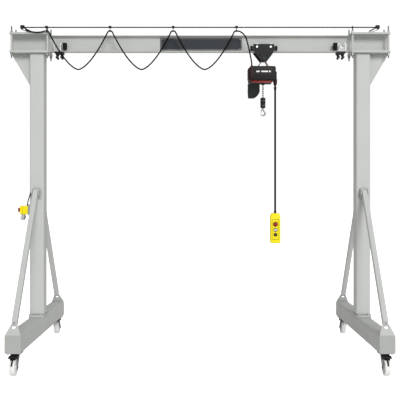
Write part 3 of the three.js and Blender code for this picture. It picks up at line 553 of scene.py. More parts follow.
def base_beam(side):
    at = STAND[side]
    width, height, half = COLUMN_SIZE, BEAM_TOP - BEAM_LOW, BEAM.y1
    middle = (BEAM_TOP + BEAM_LOW) / 2
    body = prism("y", rounded(width, height, 18, 0, middle, 8), -half + 5, half - 5)
    build(f"{side}_beam_tube", [body], FRAME_PAINT, "frame", f"{side}_base_beam", at=at, bevel=1.5, angle=60)
    # The end caps carry the darker painted shade of the beam ends.
    caps = [prism("y", rounded(width - 3, height - 3, 17, 0, middle, 8), *span)
            for span in ((-half, -half + 6), (half - 6, half))]
    build(f"{side}_beam_caps", caps, CAP_PAINTED_SHADE, "frame", at=at, bevel=2.2, segments=3, angle=60)
    flange = prism("z", rounded(width, 300, 14), BEAM_TOP - 1, BEAM_TOP + 14.7)
    build(f"{side}_beam_flange", [flange], FRAME_PAINT, "frame", at=at, bevel=1.8)
    bolts = []
    for spot in FOOT_BOLTS:
        bolts += [threaded("z", 8, BEAM_TOP + 10, BEAM_TOP + 50, spot),
                  washer("z", 15, FLANGE_TOP, FLANGE_TOP + 3, spot),
                  nut("z", 13.5, FLANGE_TOP + 3, FLANGE_TOP + 16, spot)]
    build(f"{side}_foot_bolts", bolts, ZINC, "frame", at=at)
    ring = [(x, y, BEAM_TOP + 2) for x, y in rounded(width - 22, 303, 10)]
    beads = [bead(ring, 6)]
    for front in (-1, 1):
        local = Matrix.Scale(1 if front < 0 else -1, 4, (0, 1, 0)) @ Matrix.Translation((0, -BRACE_PIN[0], BRACE_PIN[1])) \
            @ Matrix.Rotation(BRACE_TILT, 4, "X")
        plate = prism("y", soften([(-30, -1712), (30, -1712), (80, -1842), (80, -1858), (-80, -1858), (-80, -1842)], 8),
                      -6, 6, [circle(18, 0, -1762, 28), circle(6.6, 0, -1724, 20)])
        build(f"{side}_{'front' if front < 0 else 'back'}_brace_foot", [plate], BRACE_PAINT, "frame",
              at=at @ local, bevel=1.5)
        y = front * 1204.0
        beads.append(bead([(-78, y - front * 9, BEAM_TOP + 1), (78, y - front * 9, BEAM_TOP + 1)], 4, False))
    # The weld beads carry the painted shade of the beam joints.
    build(f"{side}_beam_welds", beads, WELD_PAINTED_SHADE, "frame", at=at)


def brace(side, place):
    front = 1 if place == "front" else -1
    local = Matrix.Scale(front, 4, (0, 1, 0)) @ Matrix.Translation((0, -BRACE_PIN[0], BRACE_PIN[1])) \
        @ Matrix.Rotation(BRACE_TILT, 4, "X")
    at = STAND[side] @ local
    body = prism("z", rounded(60, 60, 7), -1702, 25)
    end = prism("z", rounded(60, 60, 7), -1708, -1700)
    tongue = prism("y", soften([(-28, -1704), (28, -1704), (28, -1728), (18, -1741), (-18, -1741), (-28, -1728)], 4),
                   -14.3, -6.3)
    name = f"{side}_{place}_brace"
    build(f"{name}_tube", [body], BRACE_PAINT, "frame", name, at=at, bevel=1.2, angle=60)
    build(f"{name}_end", [end, tongue], BRACE_PAINT, "frame", at=at, bevel=1.2)
    bolts = [rod("x", 8, -52, 52, (0, 0), 20, 1), nut("x", 13, 44, 53, (0, 0)), nut("x", 13, -53, -44, (0, 0)),
             washer("x", 15, 43.2, 44.4, (0, 0)), washer("x", 15, -44.4, -43.2, (0, 0)),
             rod("y", 6, -26, 16, (0, -1724), 16, 1), nut("y", 10, -23, -16, (0, -1724)),
             washer("y", 12, -16.4, -14.4, (0, -1724)), nut("y", 10, 6.4, 14, (0, -1724))]
    build(f"{name}_bolts", bolts, DULL_ZINC, "frame", at=at)


def girder_clamp(side):
    at = STAND[side]
    low = GIRDER.z1 + 0.3
    top = low + 22
    plate = prism("z", soften([(HEAD_IN, -130), (HEAD_OUT, -130), (HEAD_OUT, 130), (HEAD_IN, 130)], 10), low, top,
                  [circle(ROD_HOLE, x, y, 20) for x, y in CLAMP_RODS])
    build(f"{side}_clamp_plate", [plate], FRAME_PAINT, "frame", f"{side}_girder_clamp", at=at, bevel=1.5)
    parts, sleeves = [], []
    for spot in CLAMP_RODS:
        under = PLATE_Z
        parts += [threaded("z", 9.5, CLAMP.z0, under + 4, spot, 2.8), rod("z", 9, under, top + 4, spot, 16),
                  threaded("z", 9.5, top, CLAMP.z1, spot, 2.8),
                  washer("z", 19, top, top + 3, spot), nut("z", 17, top + 3, top + 19, spot),
                  washer("z", 19, under - 3, under, spot), nut("z", 17, under - 19, under - 3, spot),
                  nut("z", 15.5, under - 33, under - 20, spot)]
        sleeves.append(rod("z", 12.5, GIRDER.z0, low, spot, 24, 1.2))
    build(f"{side}_clamp_rods", parts, DULL_ZINC, "frame", at=at)
    build(f"{side}_rod_sleeves", sleeves, FRAME_PAINT, "frame", at=at)





# ------------------------------------------------------------------ more shells
def loft(axis, rings):
    """Outlines of equal length joined one to the next, each a (outline, place along axis)."""
    n = len(rings[0][0])
    verts = [lift(axis, u, v, w) for outline, w in rings for u, v in outline]
    faces = [(i * n + k, i * n + (k + 1) % n, (i + 1) * n + (k + 1) % n, (i + 1) * n + k)
             for i in range(len(rings) - 1) for k in range(n)]
    last = (len(rings) - 1) * n
    return verts, [*faces, tuple(range(n)), tuple(range(last, last + n))]


def pillow(axis, width, height, corner, a0, a1, r0, r1, cx=0.0, cy=0.0):
    """A box with rounded corners whose two end edges are rolled over by r0 and r1."""
    stations = []
    for radius, place, inward in ((r0, a0, 1), (r1, a1, -1)):
        turns = [math.radians(90 * k / 5) for k in range(6)]
        rolled = [(radius * (1 - math.sin(t)), place + inward * radius * (1 - math.cos(t))) for t in turns]
        stations.append(rolled if inward > 0 else rolled[::-1])
    rings = []
    for inset, place in stations[0] + stations[1]:
        radius = max(corner - inset, 1.0)
        rings.append((rounded(width - 2 * inset, height - 2 * inset, radius, cx, cy, 5), place))
    return loft(axis, rings)


def screw(axis, at, face, outward, radius=4.0):
    """A button-head screw with a hexagon socket, standing on a face."""
    o = outward
    return lathe(axis, [(0, face + o * radius * 0.35), (radius * 0.5, face + o * radius * 0.35),
                        (radius * 0.5, face + o * radius * 0.72), (radius * 0.85, face + o * radius * 0.62),
                        (radius, face + o * radius * 0.2), (radius, face - o * 1.5), (0, face - o * 1.5)], at, 12)


def dress(name, material):
    node = frame["nodes"][name]
    node.data.materials.clear()
    node.data.materials.append(material)


# ------------------------------------------------------------------ castors
def castor(side, place):
    front = 1 if place == "front" else -1
    at = STAND[side] @ Matrix.Scale(front, 4, (0, 1, 0)) @ Matrix.Translation((0, -SWIVEL_Y, 0))
    name = f"{side}_{place}_castor"
    fork, wheel = f"{name}_fork", f"{name}_wheel"
    spots = [(x, y) for x in (-64, 64) for y in (-46, 46)]
    plate = prism("z", rounded(160, 124, 14), 231, 240.4)
    race = lathe("z", [(8.5, 216.4), (42, 216.4), (49, 220), (51, 226), (51, 231.6), (8.5, 231.6)], sides=36)
    build(f"{name}_top_plate", [plate], DULL_ZINC, "frame", at=at, bevel=1.4)
    build(f"{name}_race", [race], DARK_STEEL, "frame", at=at)
    bolts = [nut("z", 10, 221, 228.6, s) for s in spots] + [washer("z", 11.5, 228.6, 231.2, s) for s in spots]
    bolts += [rod("z", 8, 183, 232, (0, 0), 20, 1), nut("z", 14, 186, 196, (0, 0)), washer("z", 15, 196, 198.4, (0, 0))]
    build(f"{name}_plate_bolts", bolts, ZINC, "frame", at=at)

    crown = lathe("z", [(9.2, 200.2), (42, 200.2), (47, 203), (48, 208), (48, 213), (45, 215.6), (9.2, 215.6)], sides=36)
    seal = lathe("z", [(45.5, 213.6), (49.6, 213.6), (49.6, 215.4), (45.5, 215.4)], sides=36)
    bridge = prism("z", rounded(86, 76, 9, 0, -4), 199.2, 206.6, [circle(9.2, 0, 0, 24)])
    outline = soften([(-42, 207), (34, 207), (34, 186), (-28, 92), (-38, 68), (-TRAIL, 62), (-TRAIL - 18, 68),
                      (-TRAIL - 25, 90), (-62, 140)], 9)
    rib = soften([(-36, 200), (20, 200), (14, 182), (-38, 100), (-48, 108), (-58, 110), (-54, 140)], 8)
    legs = []
    for sign in (-1, 1):
        legs.append(prism("x", outline, sign * 38, sign * 43))
        legs.append(prism("x", rib, sign * 42.6, sign * 44.4))
    build(f"{name}_crown", [crown], DARK_STEEL, fork, fork, at=at)
    build(f"{name}_dust_seal", [seal], RUBBER, fork, at=at)
    build(f"{name}_fork_legs", [bridge, *legs], FORK_STEEL, fork, at=at, bevel=1.2)
    centre = (-TRAIL, WHEEL_R)
    axle = [rod("x", 8, -52, 52, centre, 20, 1), nut("x", 13, 45.4, 51, centre), washer("x", 15, 43, 45.6, centre),
            nut("x", 13, -51, -45.4, centre), washer("x", 15, -45.6, -43, centre)]
    build(f"{name}_axle", axle, FORK_STEEL, fork, at=at)
    pedal = prism("x", soften([(-30, 198), (-30, 210), (-62, 215), (-92, 209), (-99, 200), (-99, 190), (-91, 188),
                               (-84, 197), (-60, 203)], 4), -47, 47)
    treads = [block(-40, 40, y - 1.6, y + 1.6, z - 3, z + 1.8) for y, z in ((-88, 210.2), (-80, 212), (-72, 213.4),
                                                                          (-64, 214.6))]
    flanks = [prism("x", soften([(-22, 208), (-22, 190), (-46, 178), (-84, 178), (-95, 190), (-92, 206), (-60, 212)], 7),
                    *sorted((sign * 45, sign * 49))) for sign in (-1, 1)]
    shoe_arc = arc(-TRAIL, WHEEL_R, 92.5, 62, 118, 10)
    shoe = prism("x", shoe_arc + arc(-TRAIL, WHEEL_R, 99, 118, 62, 10), -30, 30)
    build(f"{name}_brake_pedal", [pedal, *treads, *flanks], BLACK_PLASTIC, fork, at=at, bevel=1.2)
    arm = prism("x", arc(-TRAIL, WHEEL_R, 92.5, 116, 163, 10) + arc(-TRAIL, WHEEL_R, 97, 163, 116, 10), -9, 9)
    build(f"{name}_brake_shoe", [shoe, arm], DARK_STEEL, fork, at=at, bevel=0.8)

    tyre = lathe("x", [(66, -29), (69, -31), (82, -31), (87, -28.5), (89.4, -22), (90, -10), (90, 10), (89.4, 22),
                       (87, 28.5), (82, 31), (69, 31), (66, 29)], centre, 56)
    web = lathe("x", [(20, -8), (67, -6), (67, 6), (20, 8)], centre, 40)
    hub = lathe("x", [(12, -35), (22, -35), (24, -33), (27, -7), (27, 7), (24, 33), (22, 35), (12, 35)], centre, 32)
    spokes = []
    for k in range(8):
        spoke = block(-24, 24, -2.8, 2.8, 22, 68)
        turn = Matrix.Translation((0, -TRAIL, WHEEL_R)) @ Matrix.Rotation(math.radians(45 * k), 4, "X")
        spokes.append(moved(spoke, turn))
    build(f"{name}_tyre", [tyre], POLYAMIDE, wheel, wheel, at=at)
    build(f"{name}_rim", [web, hub], POLYAMIDE, wheel, at=at)
    build(f"{name}_spokes", spokes, POLYAMIDE, wheel, at=at, bevel=1.0)
    bushes = [lathe("x", [(9.2, s * 32), (14, s * 32), (14, s * 37.2), (12, s * 37.6), (9.2, s * 37.6)], centre, 24)
              for s in (-1, 1)]
    build(f"{name}_bushes", bushes, DULL_ZINC, wheel, at=at)


# ------------------------------------------------------------------ end stops
STOP_X = Extent("right_end_stop").cx - COLUMN_X
STOP_UNDER = GIRDER.z0 - 0.3
STOP_ABOVE = GIRDER.z0 + 8.8
BUFFER_Y, BUFFER_Z = 62.0, 3762.0


def end_stop(side):
    at = STAND[side] @ Matrix.Translation((STOP_X, 0, 0))
    bar = block(-50, 50, -63, 63, STOP_UNDER - 22, STOP_UNDER)
    jaws, gussets, bolts, hooks = [], [], [], []
    for front in (-1, 1):
        def span(a, b):
            return sorted((front * a, front * b))
        jaws.append(block(-49.6, 49.6, *span(51, 62.6), STOP_UNDER - 20, 3740))
        jaws.append(block(-49.8, 49.8, *span(18, 62.8), STOP_ABOVE, STOP_ABOVE + 14))
        face = soften([(front * 18, STOP_ABOVE), (front * 106, STOP_ABOVE + 14), (front * 106, 3806),
                       (front * 18, 3806)], 10)
        gussets.append(prism("x", face, -50, -42))
        gussets.append(prism("y", soften([(-44, STOP_ABOVE + 10), (49, STOP_ABOVE + 10), (49, STOP_ABOVE + 20),
                                          (-40, 3800), (-44, 3800)], 4), *span(52, 60)))
        for x in (-28, 28):
            spot = (x, front * 42)
            bolts += [threaded("z", 8, STOP_UNDER - 84, STOP_UNDER - 18, spot, 2.4),
                      nut("z", 14, STOP_UNDER - 40, STOP_UNDER - 24.6, spot),
                      nut("z", 14, STOP_UNDER - 78, STOP_UNDER - 64, spot),
                      washer("z", 17, STOP_UNDER - 24.6, STOP_UNDER - 22, spot),
                      washer("z", 17, STOP_UNDER - 64, STOP_UNDER - 61, spot)]
        spot = (front * BUFFER_Y, BUFFER_Z)
        bolts += [nut("x", 12, -42, -33, spot), rod("x", 6, -52, -27, spot, 16, 0.8), washer("x", 15, -42.2, -40, spot)]
        for shift, size in ((0, 10), (-72, 8)):
            path = smooth_path([(38 + shift, front * 66, 3700), (47 + shift, front * 69, 3716),
                                (52 + shift, front * 71, 3745), (50 + shift, front * 71, 3775),
                                (44 + shift, front * 69, 3794), (33 + shift, front * 66, 3803)], 6)
            last = len(path) - 1
            hooks.append(tube(path, size, 12, False, [min(1, 0.4 + 0.2 * min(i, last - i)) for i in range(last + 1)]))
        place = "front" if front < 0 else "back"
        rubber = lathe("x", [(0, -97.8), (40, -97.8), (42, -96.6), (42.6, -94), (42.6, -82), (41.8, -80), (41.8, -78),
                             (42.8, -76), (43, -55), (0, -55)], spot, 44)
        base = lathe("x", [(0, -50), (45, -50), (45.6, -51), (45.6, -54), (44, -55.4), (0, -55.4)], spot, 44)
        build(f"{side}_{place}_buffer_rubber", [rubber], RUBBER, "frame", f"{side}_{place}_buffer", at=at)
        build(f"{side}_{place}_buffer_base", [base], ZINC, "frame", at=at)
    build(f"{side}_stop_bar", [bar], CHARCOAL, "frame", at=at, bevel=1.3)
    build(f"{side}_stop_jaws", jaws, FRAME_PAINT, "frame", f"{side}_end_stop", at=at, bevel=1.3)
    build(f"{side}_stop_plates", gussets, DULL_ZINC, "frame", at=at, bevel=1.0)
    build(f"{side}_stop_hooks", hooks, WHITE_PLASTIC, "frame", at=at)
    build(f"{side}_stop_bolts", bolts, DARK_STEEL, "frame", at=at)


# ------------------------------------------------------------------ festoon line
WIRE = Extent("festoon_wire")
CLIP_Z = 3930.0
CLIP_HALF = 10.0
CABLE_R = 8.5
CABLE_SIDES = 12
CABLE_BEND = 1.6
SADDLE = 12.0
CABLE_SAG = 468.0
FIXED_CLIP_X = Extent("fixed_cable_clip").cx
CLIP_X = [Extent(f"cable_clip_{i}").cx for i in (1, 2, 3)]


def wire_bracket(side):
    at = STAND[side]
    low = GIRDER.z1 + 22.6
    strip = prism("y", soften([(56, low), (98, low), (186, 3958), (186, 3966), (96, low + 7), (56, low + 7)], 3),
                  -138, -96)
    strut = tube([(60, -120, low + 8), (100, -131, low + 27), (140, -142, 3972)], 7, 14)
    grip = pillow("x", 28, 40, 5, 134, 184, 3, 3, -150, 3980)
    build(f"{side}_wire_strip", [strip], DULL_ZINC, "frame", f"{side}_wire_bracket", at=at, bevel=0.9)
    build(f"{side}_wire_strut", [strut], BLACK_PLASTIC, "frame", at=at)
    build(f"{side}_wire_grip", [grip], BLACK_PLASTIC, "frame", at=at)
    bolts = [nut("z", 9, low + 7, low + 14, (72, -106)), washer("z", 10.5, low + 6.6, low + 8, (72, -106))]
    bolts += [screw("y", (x, 3980), -164, -1, 5) for x in (146, 172)]
    bolts += [nut("z", 7, 3956, 3960.4, (159, -150)), rod("z", 3.6, 3953, 4001.5, (159, -150), 12, 0.5)]
    build(f"{side}_wire_bolts", bolts, DARK_STEEL, "frame", at=at)


def festoon_wire():
    half = WIRE.x1
    steps = 560
    verts, faces = [], []
    for i in range(steps + 1):
        x = -half + 2 * half * i / steps
        twist = x / 52.0 * 2 * math.pi
        for k in range(18):
            angle = 2 * math.pi * k / 18
            radius = 6.8 + 0.4 * math.cos(6 * angle - twist)
            verts.append((x, WIRE.cy + radius * math.cos(angle), WIRE.cz + radius * math.sin(angle)))
        if i:
            a, b = (i - 1) * 18, i * 18
            faces += [(a + k, a + (k + 1) % 18, b + (k + 1) % 18, b + k) for k in range(18)]
    faces += [tuple(range(18)), tuple(range(steps * 18, steps * 18 + 18))]
    build("festoon_wire_rope", [(verts, faces)], CABLE, "frame", "festoon_wire", angle=70)


def clip(name, x, body):
    at = Matrix.Translation((x, WIRE.cy, WIRE.cz))
    drop = CLIP_Z - WIRE.cz
    cheek = soften([(-12, -10.5), (12, -10.5), (19, -1), (19, 11), (13, 18), (-13, 18), (-19, 11), (-19, -1)], 3)
    cheeks = [prism("y", cheek, *span) for span in ((-10.5, -8), (8, 10.5))]
    bridge = prism("y", soften([(-11, -10.4), (11, -10.4), (11, -7.4), (-11, -7.4)], 0.8), -8.4, 8.4)
    rollers = [lathe("y", [(0, -7.6), (6.4, -7.6), (6.4, -5.6), (4.0, -2.2), (4.0, 2.2), (6.4, 5.6), (6.4, 7.6),
                           (0, 7.6)], (rx, 11.3), 20) for rx in (-10, 10)]
    stem = loft("z", [(rounded(9, 9, 3), -8), (rounded(8, 8, 3), -14), (rounded(8, 8, 3), drop + 13),
                      (rounded(12, 12, 3), drop + 9)])
    clamp = prism("x", rounded(2 * SADDLE, 2 * SADDLE, 6, 0, drop), -10, -1.2, [circle(CABLE_R + 0.5, 0, drop)])
    second = shifted(clamp, 11.2)
    screws = [screw("y", (rx, 11.3), -10.5, -1, 3) for rx in (-10, 10)]
    screws += [screw("y", (sx, drop), -SADDLE, -1, 3) for sx in (-5.6, 5.6)]
    build(f"{name}_cheeks", [*cheeks, bridge], BLACK_PLASTIC, body, name, at=at, bevel=0.7)
    build(f"{name}_clamp", [stem, clamp, second], BLACK_PLASTIC, body, at=at, bevel=0.6)
    build(f"{name}_rollers", rollers, GREY_PLASTIC, body, at=at)
    build(f"{name}_screws", screws, DULL_ZINC, body, at=at)


def loop_path(x0, x1, sag):
    steps = 28
    level = CLIP_HALF + 5
    inset = level + 12
    points = [(x0 - 2, 0), (x0 + CLIP_HALF, 0), (x0 + level + 4, -3.5)]
    for i in range(steps + 1):
        t = i / steps
        depth = 1 - abs(2 * t - 1) ** CABLE_BEND
        points.append((x0 + inset + t * (x1 - x0 - 2 * inset), -12 - depth * (sag - 12)))
    points += [(x1 - level - 4, -3.5), (x1 - CLIP_HALF, 0), (x1 + 2, 0)]
    return smooth_path([(x, WIRE.cy, CLIP_Z + z) for x, z in points], 3)


def cable(name, path, replaces=()):
    return build(name, [tube(path, CABLE_R, CABLE_SIDES)], CABLE, None, replaces, angle=60)


def drag(name, path):
    """A length of cable, built in place with its transform baked into the mesh."""
    obj = cable(name, path)
    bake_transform(obj)


def festoon():
    spots = [FIXED_CLIP_X, *CLIP_X]
    y, z = WIRE.cy, CLIP_Z
    lead = smooth_path([(-2124, y, 3952), (-2100, y, 3938), (-2050, y, 3922), (-1985, y, 3914), (-1930, y, 3919),
                        (-1900, y, 3927), (FIXED_CLIP_X - 14, y, z), (FIXED_CLIP_X + 2, y, z)], 6)
    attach(cable("festoon_lead", lead, "festoon_cable"), "frame")
    for i in range(3):
        drag(f"festoon_loop_{i + 1}", loop_path(spots[i], spots[i + 1], CABLE_SAG))
    third = spots[3]
    tail = smooth_path([(x, y, height) for x, height in (
        (third - 2, z), (third + 14, z), (486, 3924), (511, 3908), (535, 3886), (559, 3848), (572, 3806), (590, 3736),
        (602, 3675))], 5)
    drag("festoon_tail", tail)
    drop = smooth_path([(601.6, y, 3677), (609, y, 3643), (616, y, 3610), (626, y, 3560), (630, -138, 3538),
                        (632, -112, 3528), (634, -95, 3512)], 6)
    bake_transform(cable("festoon_drop", drop))


# ------------------------------------------------------------------ trolley
AXLE_X = 84.0
WHEEL_Z = joint("trolley_front_left_wheel_spin")["pos_m"][2] / MM
PLATE_Y = 75.0


def trolley():
    at = Matrix.Translation((TROLLEY_X, 0, 0))
    outline = soften([(-128, 3782), (-122, 3787), (122, 3787), (128, 3782), (128, 3703), (46, 3597), (38, 3589),
                      (-38, 3589), (-46, 3597), (-128, 3703)], 9)
    holes = [circle(12.6, -AXLE_X, WHEEL_Z, 24), circle(12.6, AXLE_X, WHEEL_Z, 24), circle(10.8, 0, BOLT_Z, 24)]
    for place, front in (("front", -1), ("back", 1)):
        def span(a, b):
            return sorted((front * a, front * b))
        plate = prism("y", outline, *span(PLATE_Y, PLATE_Y + 8), holes)
        build(f"trolley_{place}_side", [plate], CHARCOAL, "trolley", f"trolley_{place}_plate", at=at, bevel=1.4)
        arms, pads, bolts = [], [], []
        for end in (-1, 1):
            x = sorted((end * 120, end * 144))
            arms.append(block(*x, *span(70, 82.4), 3712, 3758))
            pads.append(pillow("x", 27, 58, 6, *sorted((end * 143, end * 166)), *((5, 2) if end < 0 else (2, 5)),
                               front * 75.5, 3735))
            centre = (end * AXLE_X, WHEEL_Z)
            o = front
            body = f"trolley_{place}_{'left' if end < 0 else 'right'}_wheel"
            wheel = lathe("y", [(12, o * 25), (36, o * 24.4), (40, o * 26), (44.2, o * 26), (44.2, o * 50), (46, o * 51.4),
                                (51, o * 52.4), (51, o * 56), (49, o * 57), (40, o * 57.4), (37, o * 55), (24, o * 55),
                                (22, o * 58.6), (12, o * 59)], centre, 44)
            shaft = lathe("y", [(0, o * 24.6), (15, o * 24.6), (16, o * 30), (18, o * 60), (18, o * 74.6), (12, o * 74.6),
                                (12, o * 83.6), (13, o * 83.6), (13.4, o * 85), (13.4, o * 89.6), (11.4, o * 91),
                                (0, o * 90.4)], centre, 28)
            clip_ring = lathe("y", [(10, o * 90.2), (11.6, o * 90.2), (11.6, o * 91.6), (10, o * 91.6)], centre, 24)
            build(f"{body}_tread", [wheel], DULL_ZINC, body, body, at=at)
            build(f"{body}_axle", [shaft, clip_ring], ZINC, body, at=at)
            bolts += [screw("y", (end * 112, z), front * 83, front, 5) for z in (3722, 3770)]
            bolts += [screw("x", (front * 75.5, z), end * 144, end, 3) for z in (3718, 3752)]
        nuts = [nut("y", 12, *span(83.2, 91), (sx, 3654)) for sx in (-44, 44)]
        nuts += [washer("y", 13.5, *span(83, 84.4), (sx, 3654)) for sx in (-44, 44)]
        build(f"trolley_{place}_tie_nuts", nuts, CHARCOAL, "trolley", at=at)
        build(f"trolley_{place}_bumper_arms", arms, CHARCOAL, "trolley", at=at, bevel=1.2)
        build(f"trolley_{place}_bumper_pads", pads, RUBBER, "trolley", at=at)
        build(f"trolley_{place}_bolts", bolts, CHARCOAL, "trolley", at=at)
    ties = [rod("y", 7, -93, 93, (sx, 3654), 18, 1) for sx in (-44, 44)]
    ties += [lathe("y", [(7, -74.8), (11, -74.8), (11, 74.8), (7, 74.8)], (sx, 3654), 20) for sx in (-44, 44)]
    build("trolley_ties", ties, CHARCOAL, "trolley", at=at)
    pin = [rod("y", 10, -94, 94, (0, BOLT_Z), 24, 1.2)]
    for front in (-1, 1):
        pin += [nut("y", 16, *sorted((front * 84.6, front * 95)), (0, BOLT_Z)),
                washer("y", 18, *sorted((front * 83.1, front * 84.8)), (0, BOLT_Z)),
                lathe("y", [(10, front * 42), (16, front * 42), (16, front * 74), (10, front * 74)], (0, BOLT_Z), 24)]
    build("suspension_pin", pin, DARK_STEEL, "trolley", "suspension_bolt", at=at)


# ------------------------------------------------------------------ hoist
HOIST_X0, HOIST_X1 = 611.0, 930.0
HOIST_Z0, HOIST_Z1 = 3346.0, 3516.0
HOIST_Y = 110.0
TRAY = Extent("hoist_bottom_cover")
PENDANT_X, PENDANT_Y = 923.0, -60.0
PENDANT_TOP_Z = 3285.0


def hoist():
    middle = (HOIST_Z0 + HOIST_Z1) / 2
    height = HOIST_Z1 - HOIST_Z0
    wide = 2 * HOIST_Y
    core = block(622, 918, -106.5, 106.5, HOIST_Z0 + 3, HOIST_Z1 - 3.5)
    left = pillow("x", wide, height, 20, HOIST_X0, 649, 12, 1.5, 0, middle)
    centre = pillow("x", wide, height, 20, 651, 887, 1.5, 1.5, 0, middle)
    right = pillow("x", wide, height, 26, 889, HOIST_X1, 1.5, 26, 0, middle)
    build("hoist_shell", [centre, right], HOUSING, "hoist", "hoist_housing", angle=40)
    build("hoist_gear_case", [left], END_BROWN, "hoist", angle=40)
    build("hoist_core", [core], BLACK_PLASTIC, "hoist", bevel=1.0)
    end = pillow("x", 168, 152, 26, 591, 613, 18, 1, 0, 3425)
    boss = lathe("x", [(0, 588.6), (42, 588.6), (48, 591.5), (49, 594), (0, 594)], (0, 3425), 40)
    build("hoist_gear_cover", [end, boss], END_BROWN, "hoist", angle=40)
    cap = pillow("x", 168, 122, 14, 928, 941, 1, 6, 0, 3391)
    slats = [pillow("y", 5, 7, 2.2, -64, 64, 2, 2, 941.2, z) for z in range(3343, 3445, 14)]
    build("hoist_fan_cover", [cap], HOUSING, "hoist", angle=40)
    build("hoist_fan_slats", slats, BLACK_PLASTIC, "hoist")
    ribs = []
    for front in (-1, 1):
        for z in range(3359, 3412, 11):
            ribs.append(pillow("x", 4.4, 4.2, 1.6, 662, 878, 1.6, 1.6, front * 110.4, z))
    for y in range(-84, 85, 14):
        ribs.append(pillow("x", 4.2, 4.4, 1.6, 662, 700, 1.6, 1.6, y, HOIST_Z1 + 0.2))
        ribs.append(pillow("x", 4.2, 4.4, 1.6, 842, 878, 1.6, 1.6, y, HOIST_Z1 + 0.2))
    build("hoist_ribs", ribs, HOUSING, "hoist")
    bars = []
    for front in (-1, 1):
        for x, width in ((688, 40), (748, 84), (842, 22)):
            bars.append(pillow("y", width, 17, 3, *sorted((front * 109.6, front * 110.8)), 0.2, 0.2,
                               x + width / 2, 3446))
    build("hoist_side_marks", bars, PALE_PRINT, "hoist")
    screws = [screw("x", (y, z), 592.4, -1, 5.5) for y in (-60, 60) for z in (3368, 3482)]
    screws += [screw("y", (x, z), front * 110, front, 5) for front in (-1, 1) for x in (632, 906)
               for z in (3366, 3494)]
    screws += [screw("x", (y, z), 941, 1, 4.5) for y in (-72, 72) for z in (3338, 3440)]
    build("hoist_screws", screws, DARK_STEEL, "hoist")
    depth = TRAY.y1 - TRAY.y0
    skirt = pillow("z", TRAY.x1 - TRAY.x0, depth, 20, TRAY.z0 + 3, TRAY.z1 + 1, 2, 1, TRAY.cx, 0)
    strip = pillow("x", 5, 7, 2, TRAY.x0 + 24, TRAY.x1 - 24, 2, 2, TRAY.y0 - 0.6, TRAY.z0 + 22)
    base = pillow("z", TRAY.x1 - TRAY.x0 - 5, depth - 5, 18, TRAY.z0 - 1.5, TRAY.z0 + 6, 2, 1, TRAY.cx, 0)
    build("hoist_red_cover", [skirt, strip], RED_COVER, "hoist", "hoist_bottom_cover", angle=40)
    bell = lathe("z", [(15, 3300), (21, 3300), (25, 3303), (27, 3312), (15, 3314)], (CHAIN_X, 0), 32)
    throat = prism("z", rounded(92, 92, 10, 664, 0), 3306, 3314)
    build("hoist_cover_base", [base], BLACK_PLASTIC, "hoist", angle=40)
    build("chain_guides", [bell, throat], BLACK_PLASTIC, "hoist", bevel=0.8)
    screws = [lathe("z", [(0, 3309.0), (3.4, 3309.0), (4.4, 3310), (4.4, 3313), (0, 3313)], (x, y), 12)
              for x in (730, 865) for y in (-46, 46)]
    build("hoist_cover_screws", screws, ZINC, "hoist")
    at = (PENDANT_X, PENDANT_Y)
    gland = lathe("z", [(0, 3360), (24, 3360), (25, 3352), (25, 3318), (23, 3314), (22, 3300), (20, 3286), (17, 3284),
                        (15, 3300), (0, 3304)], at, 28)
    top_gland = lathe("z", [(0, 3500), (12, 3500), (12, 3521), (10, 3523), (7.5, 3526), (0, 3526)], (634, -95), 20)
    build("hoist_pendant_gland", [gland], END_BROWN, "hoist")
    build("hoist_top_gland", [top_gland], BLACK_PLASTIC, "hoist")


def hoist_hanger():
    low = HOIST_Z1 + 0.3
    outer = soften([(-72, low + 4), (-72, low + 11), (-21, BOLT_Z - 8), (-18, BOLT_Z + 6), (-10, BOLT_Z + 17),
                    (10, BOLT_Z + 17), (18, BOLT_Z + 6), (21, BOLT_Z - 8), (64, low + 11), (64, low + 4)], 4)
    window = soften([(-57, low + 11), (-17, BOLT_Z - 25), (13, BOLT_Z - 25), (49, low + 11)], 4)
    at = Matrix.Translation((TROLLEY_X, 0, 0))
    cheeks = [prism("y", outer, *span, [circle(11.2, 0, BOLT_Z, 24), window]) for span in ((-34, -26), (26, 34))]
    base = pillow("z", 152, 80, 8, low, low + 6, 1, 1.5, -4, 0)
    build("hoist_hanger_cheeks", cheeks, HANGER_STEEL, "hoist", "hoist_hanger", at=at, bevel=1.3)
    build("hoist_hanger_base", [base], HANGER_STEEL, "hoist", at=at)
    bolts = []
    for x in (-66, 58):
        for y in (-18, 0, 18):
            bolts.append(screw("z", (x, y), low + 6, 1, 6))
    build("hoist_hanger_bolts", bolts, ZINC, "hoist", at=at)
    dress("hoist_motor", STEEL)
    dress("chain_sprocket", STEEL)


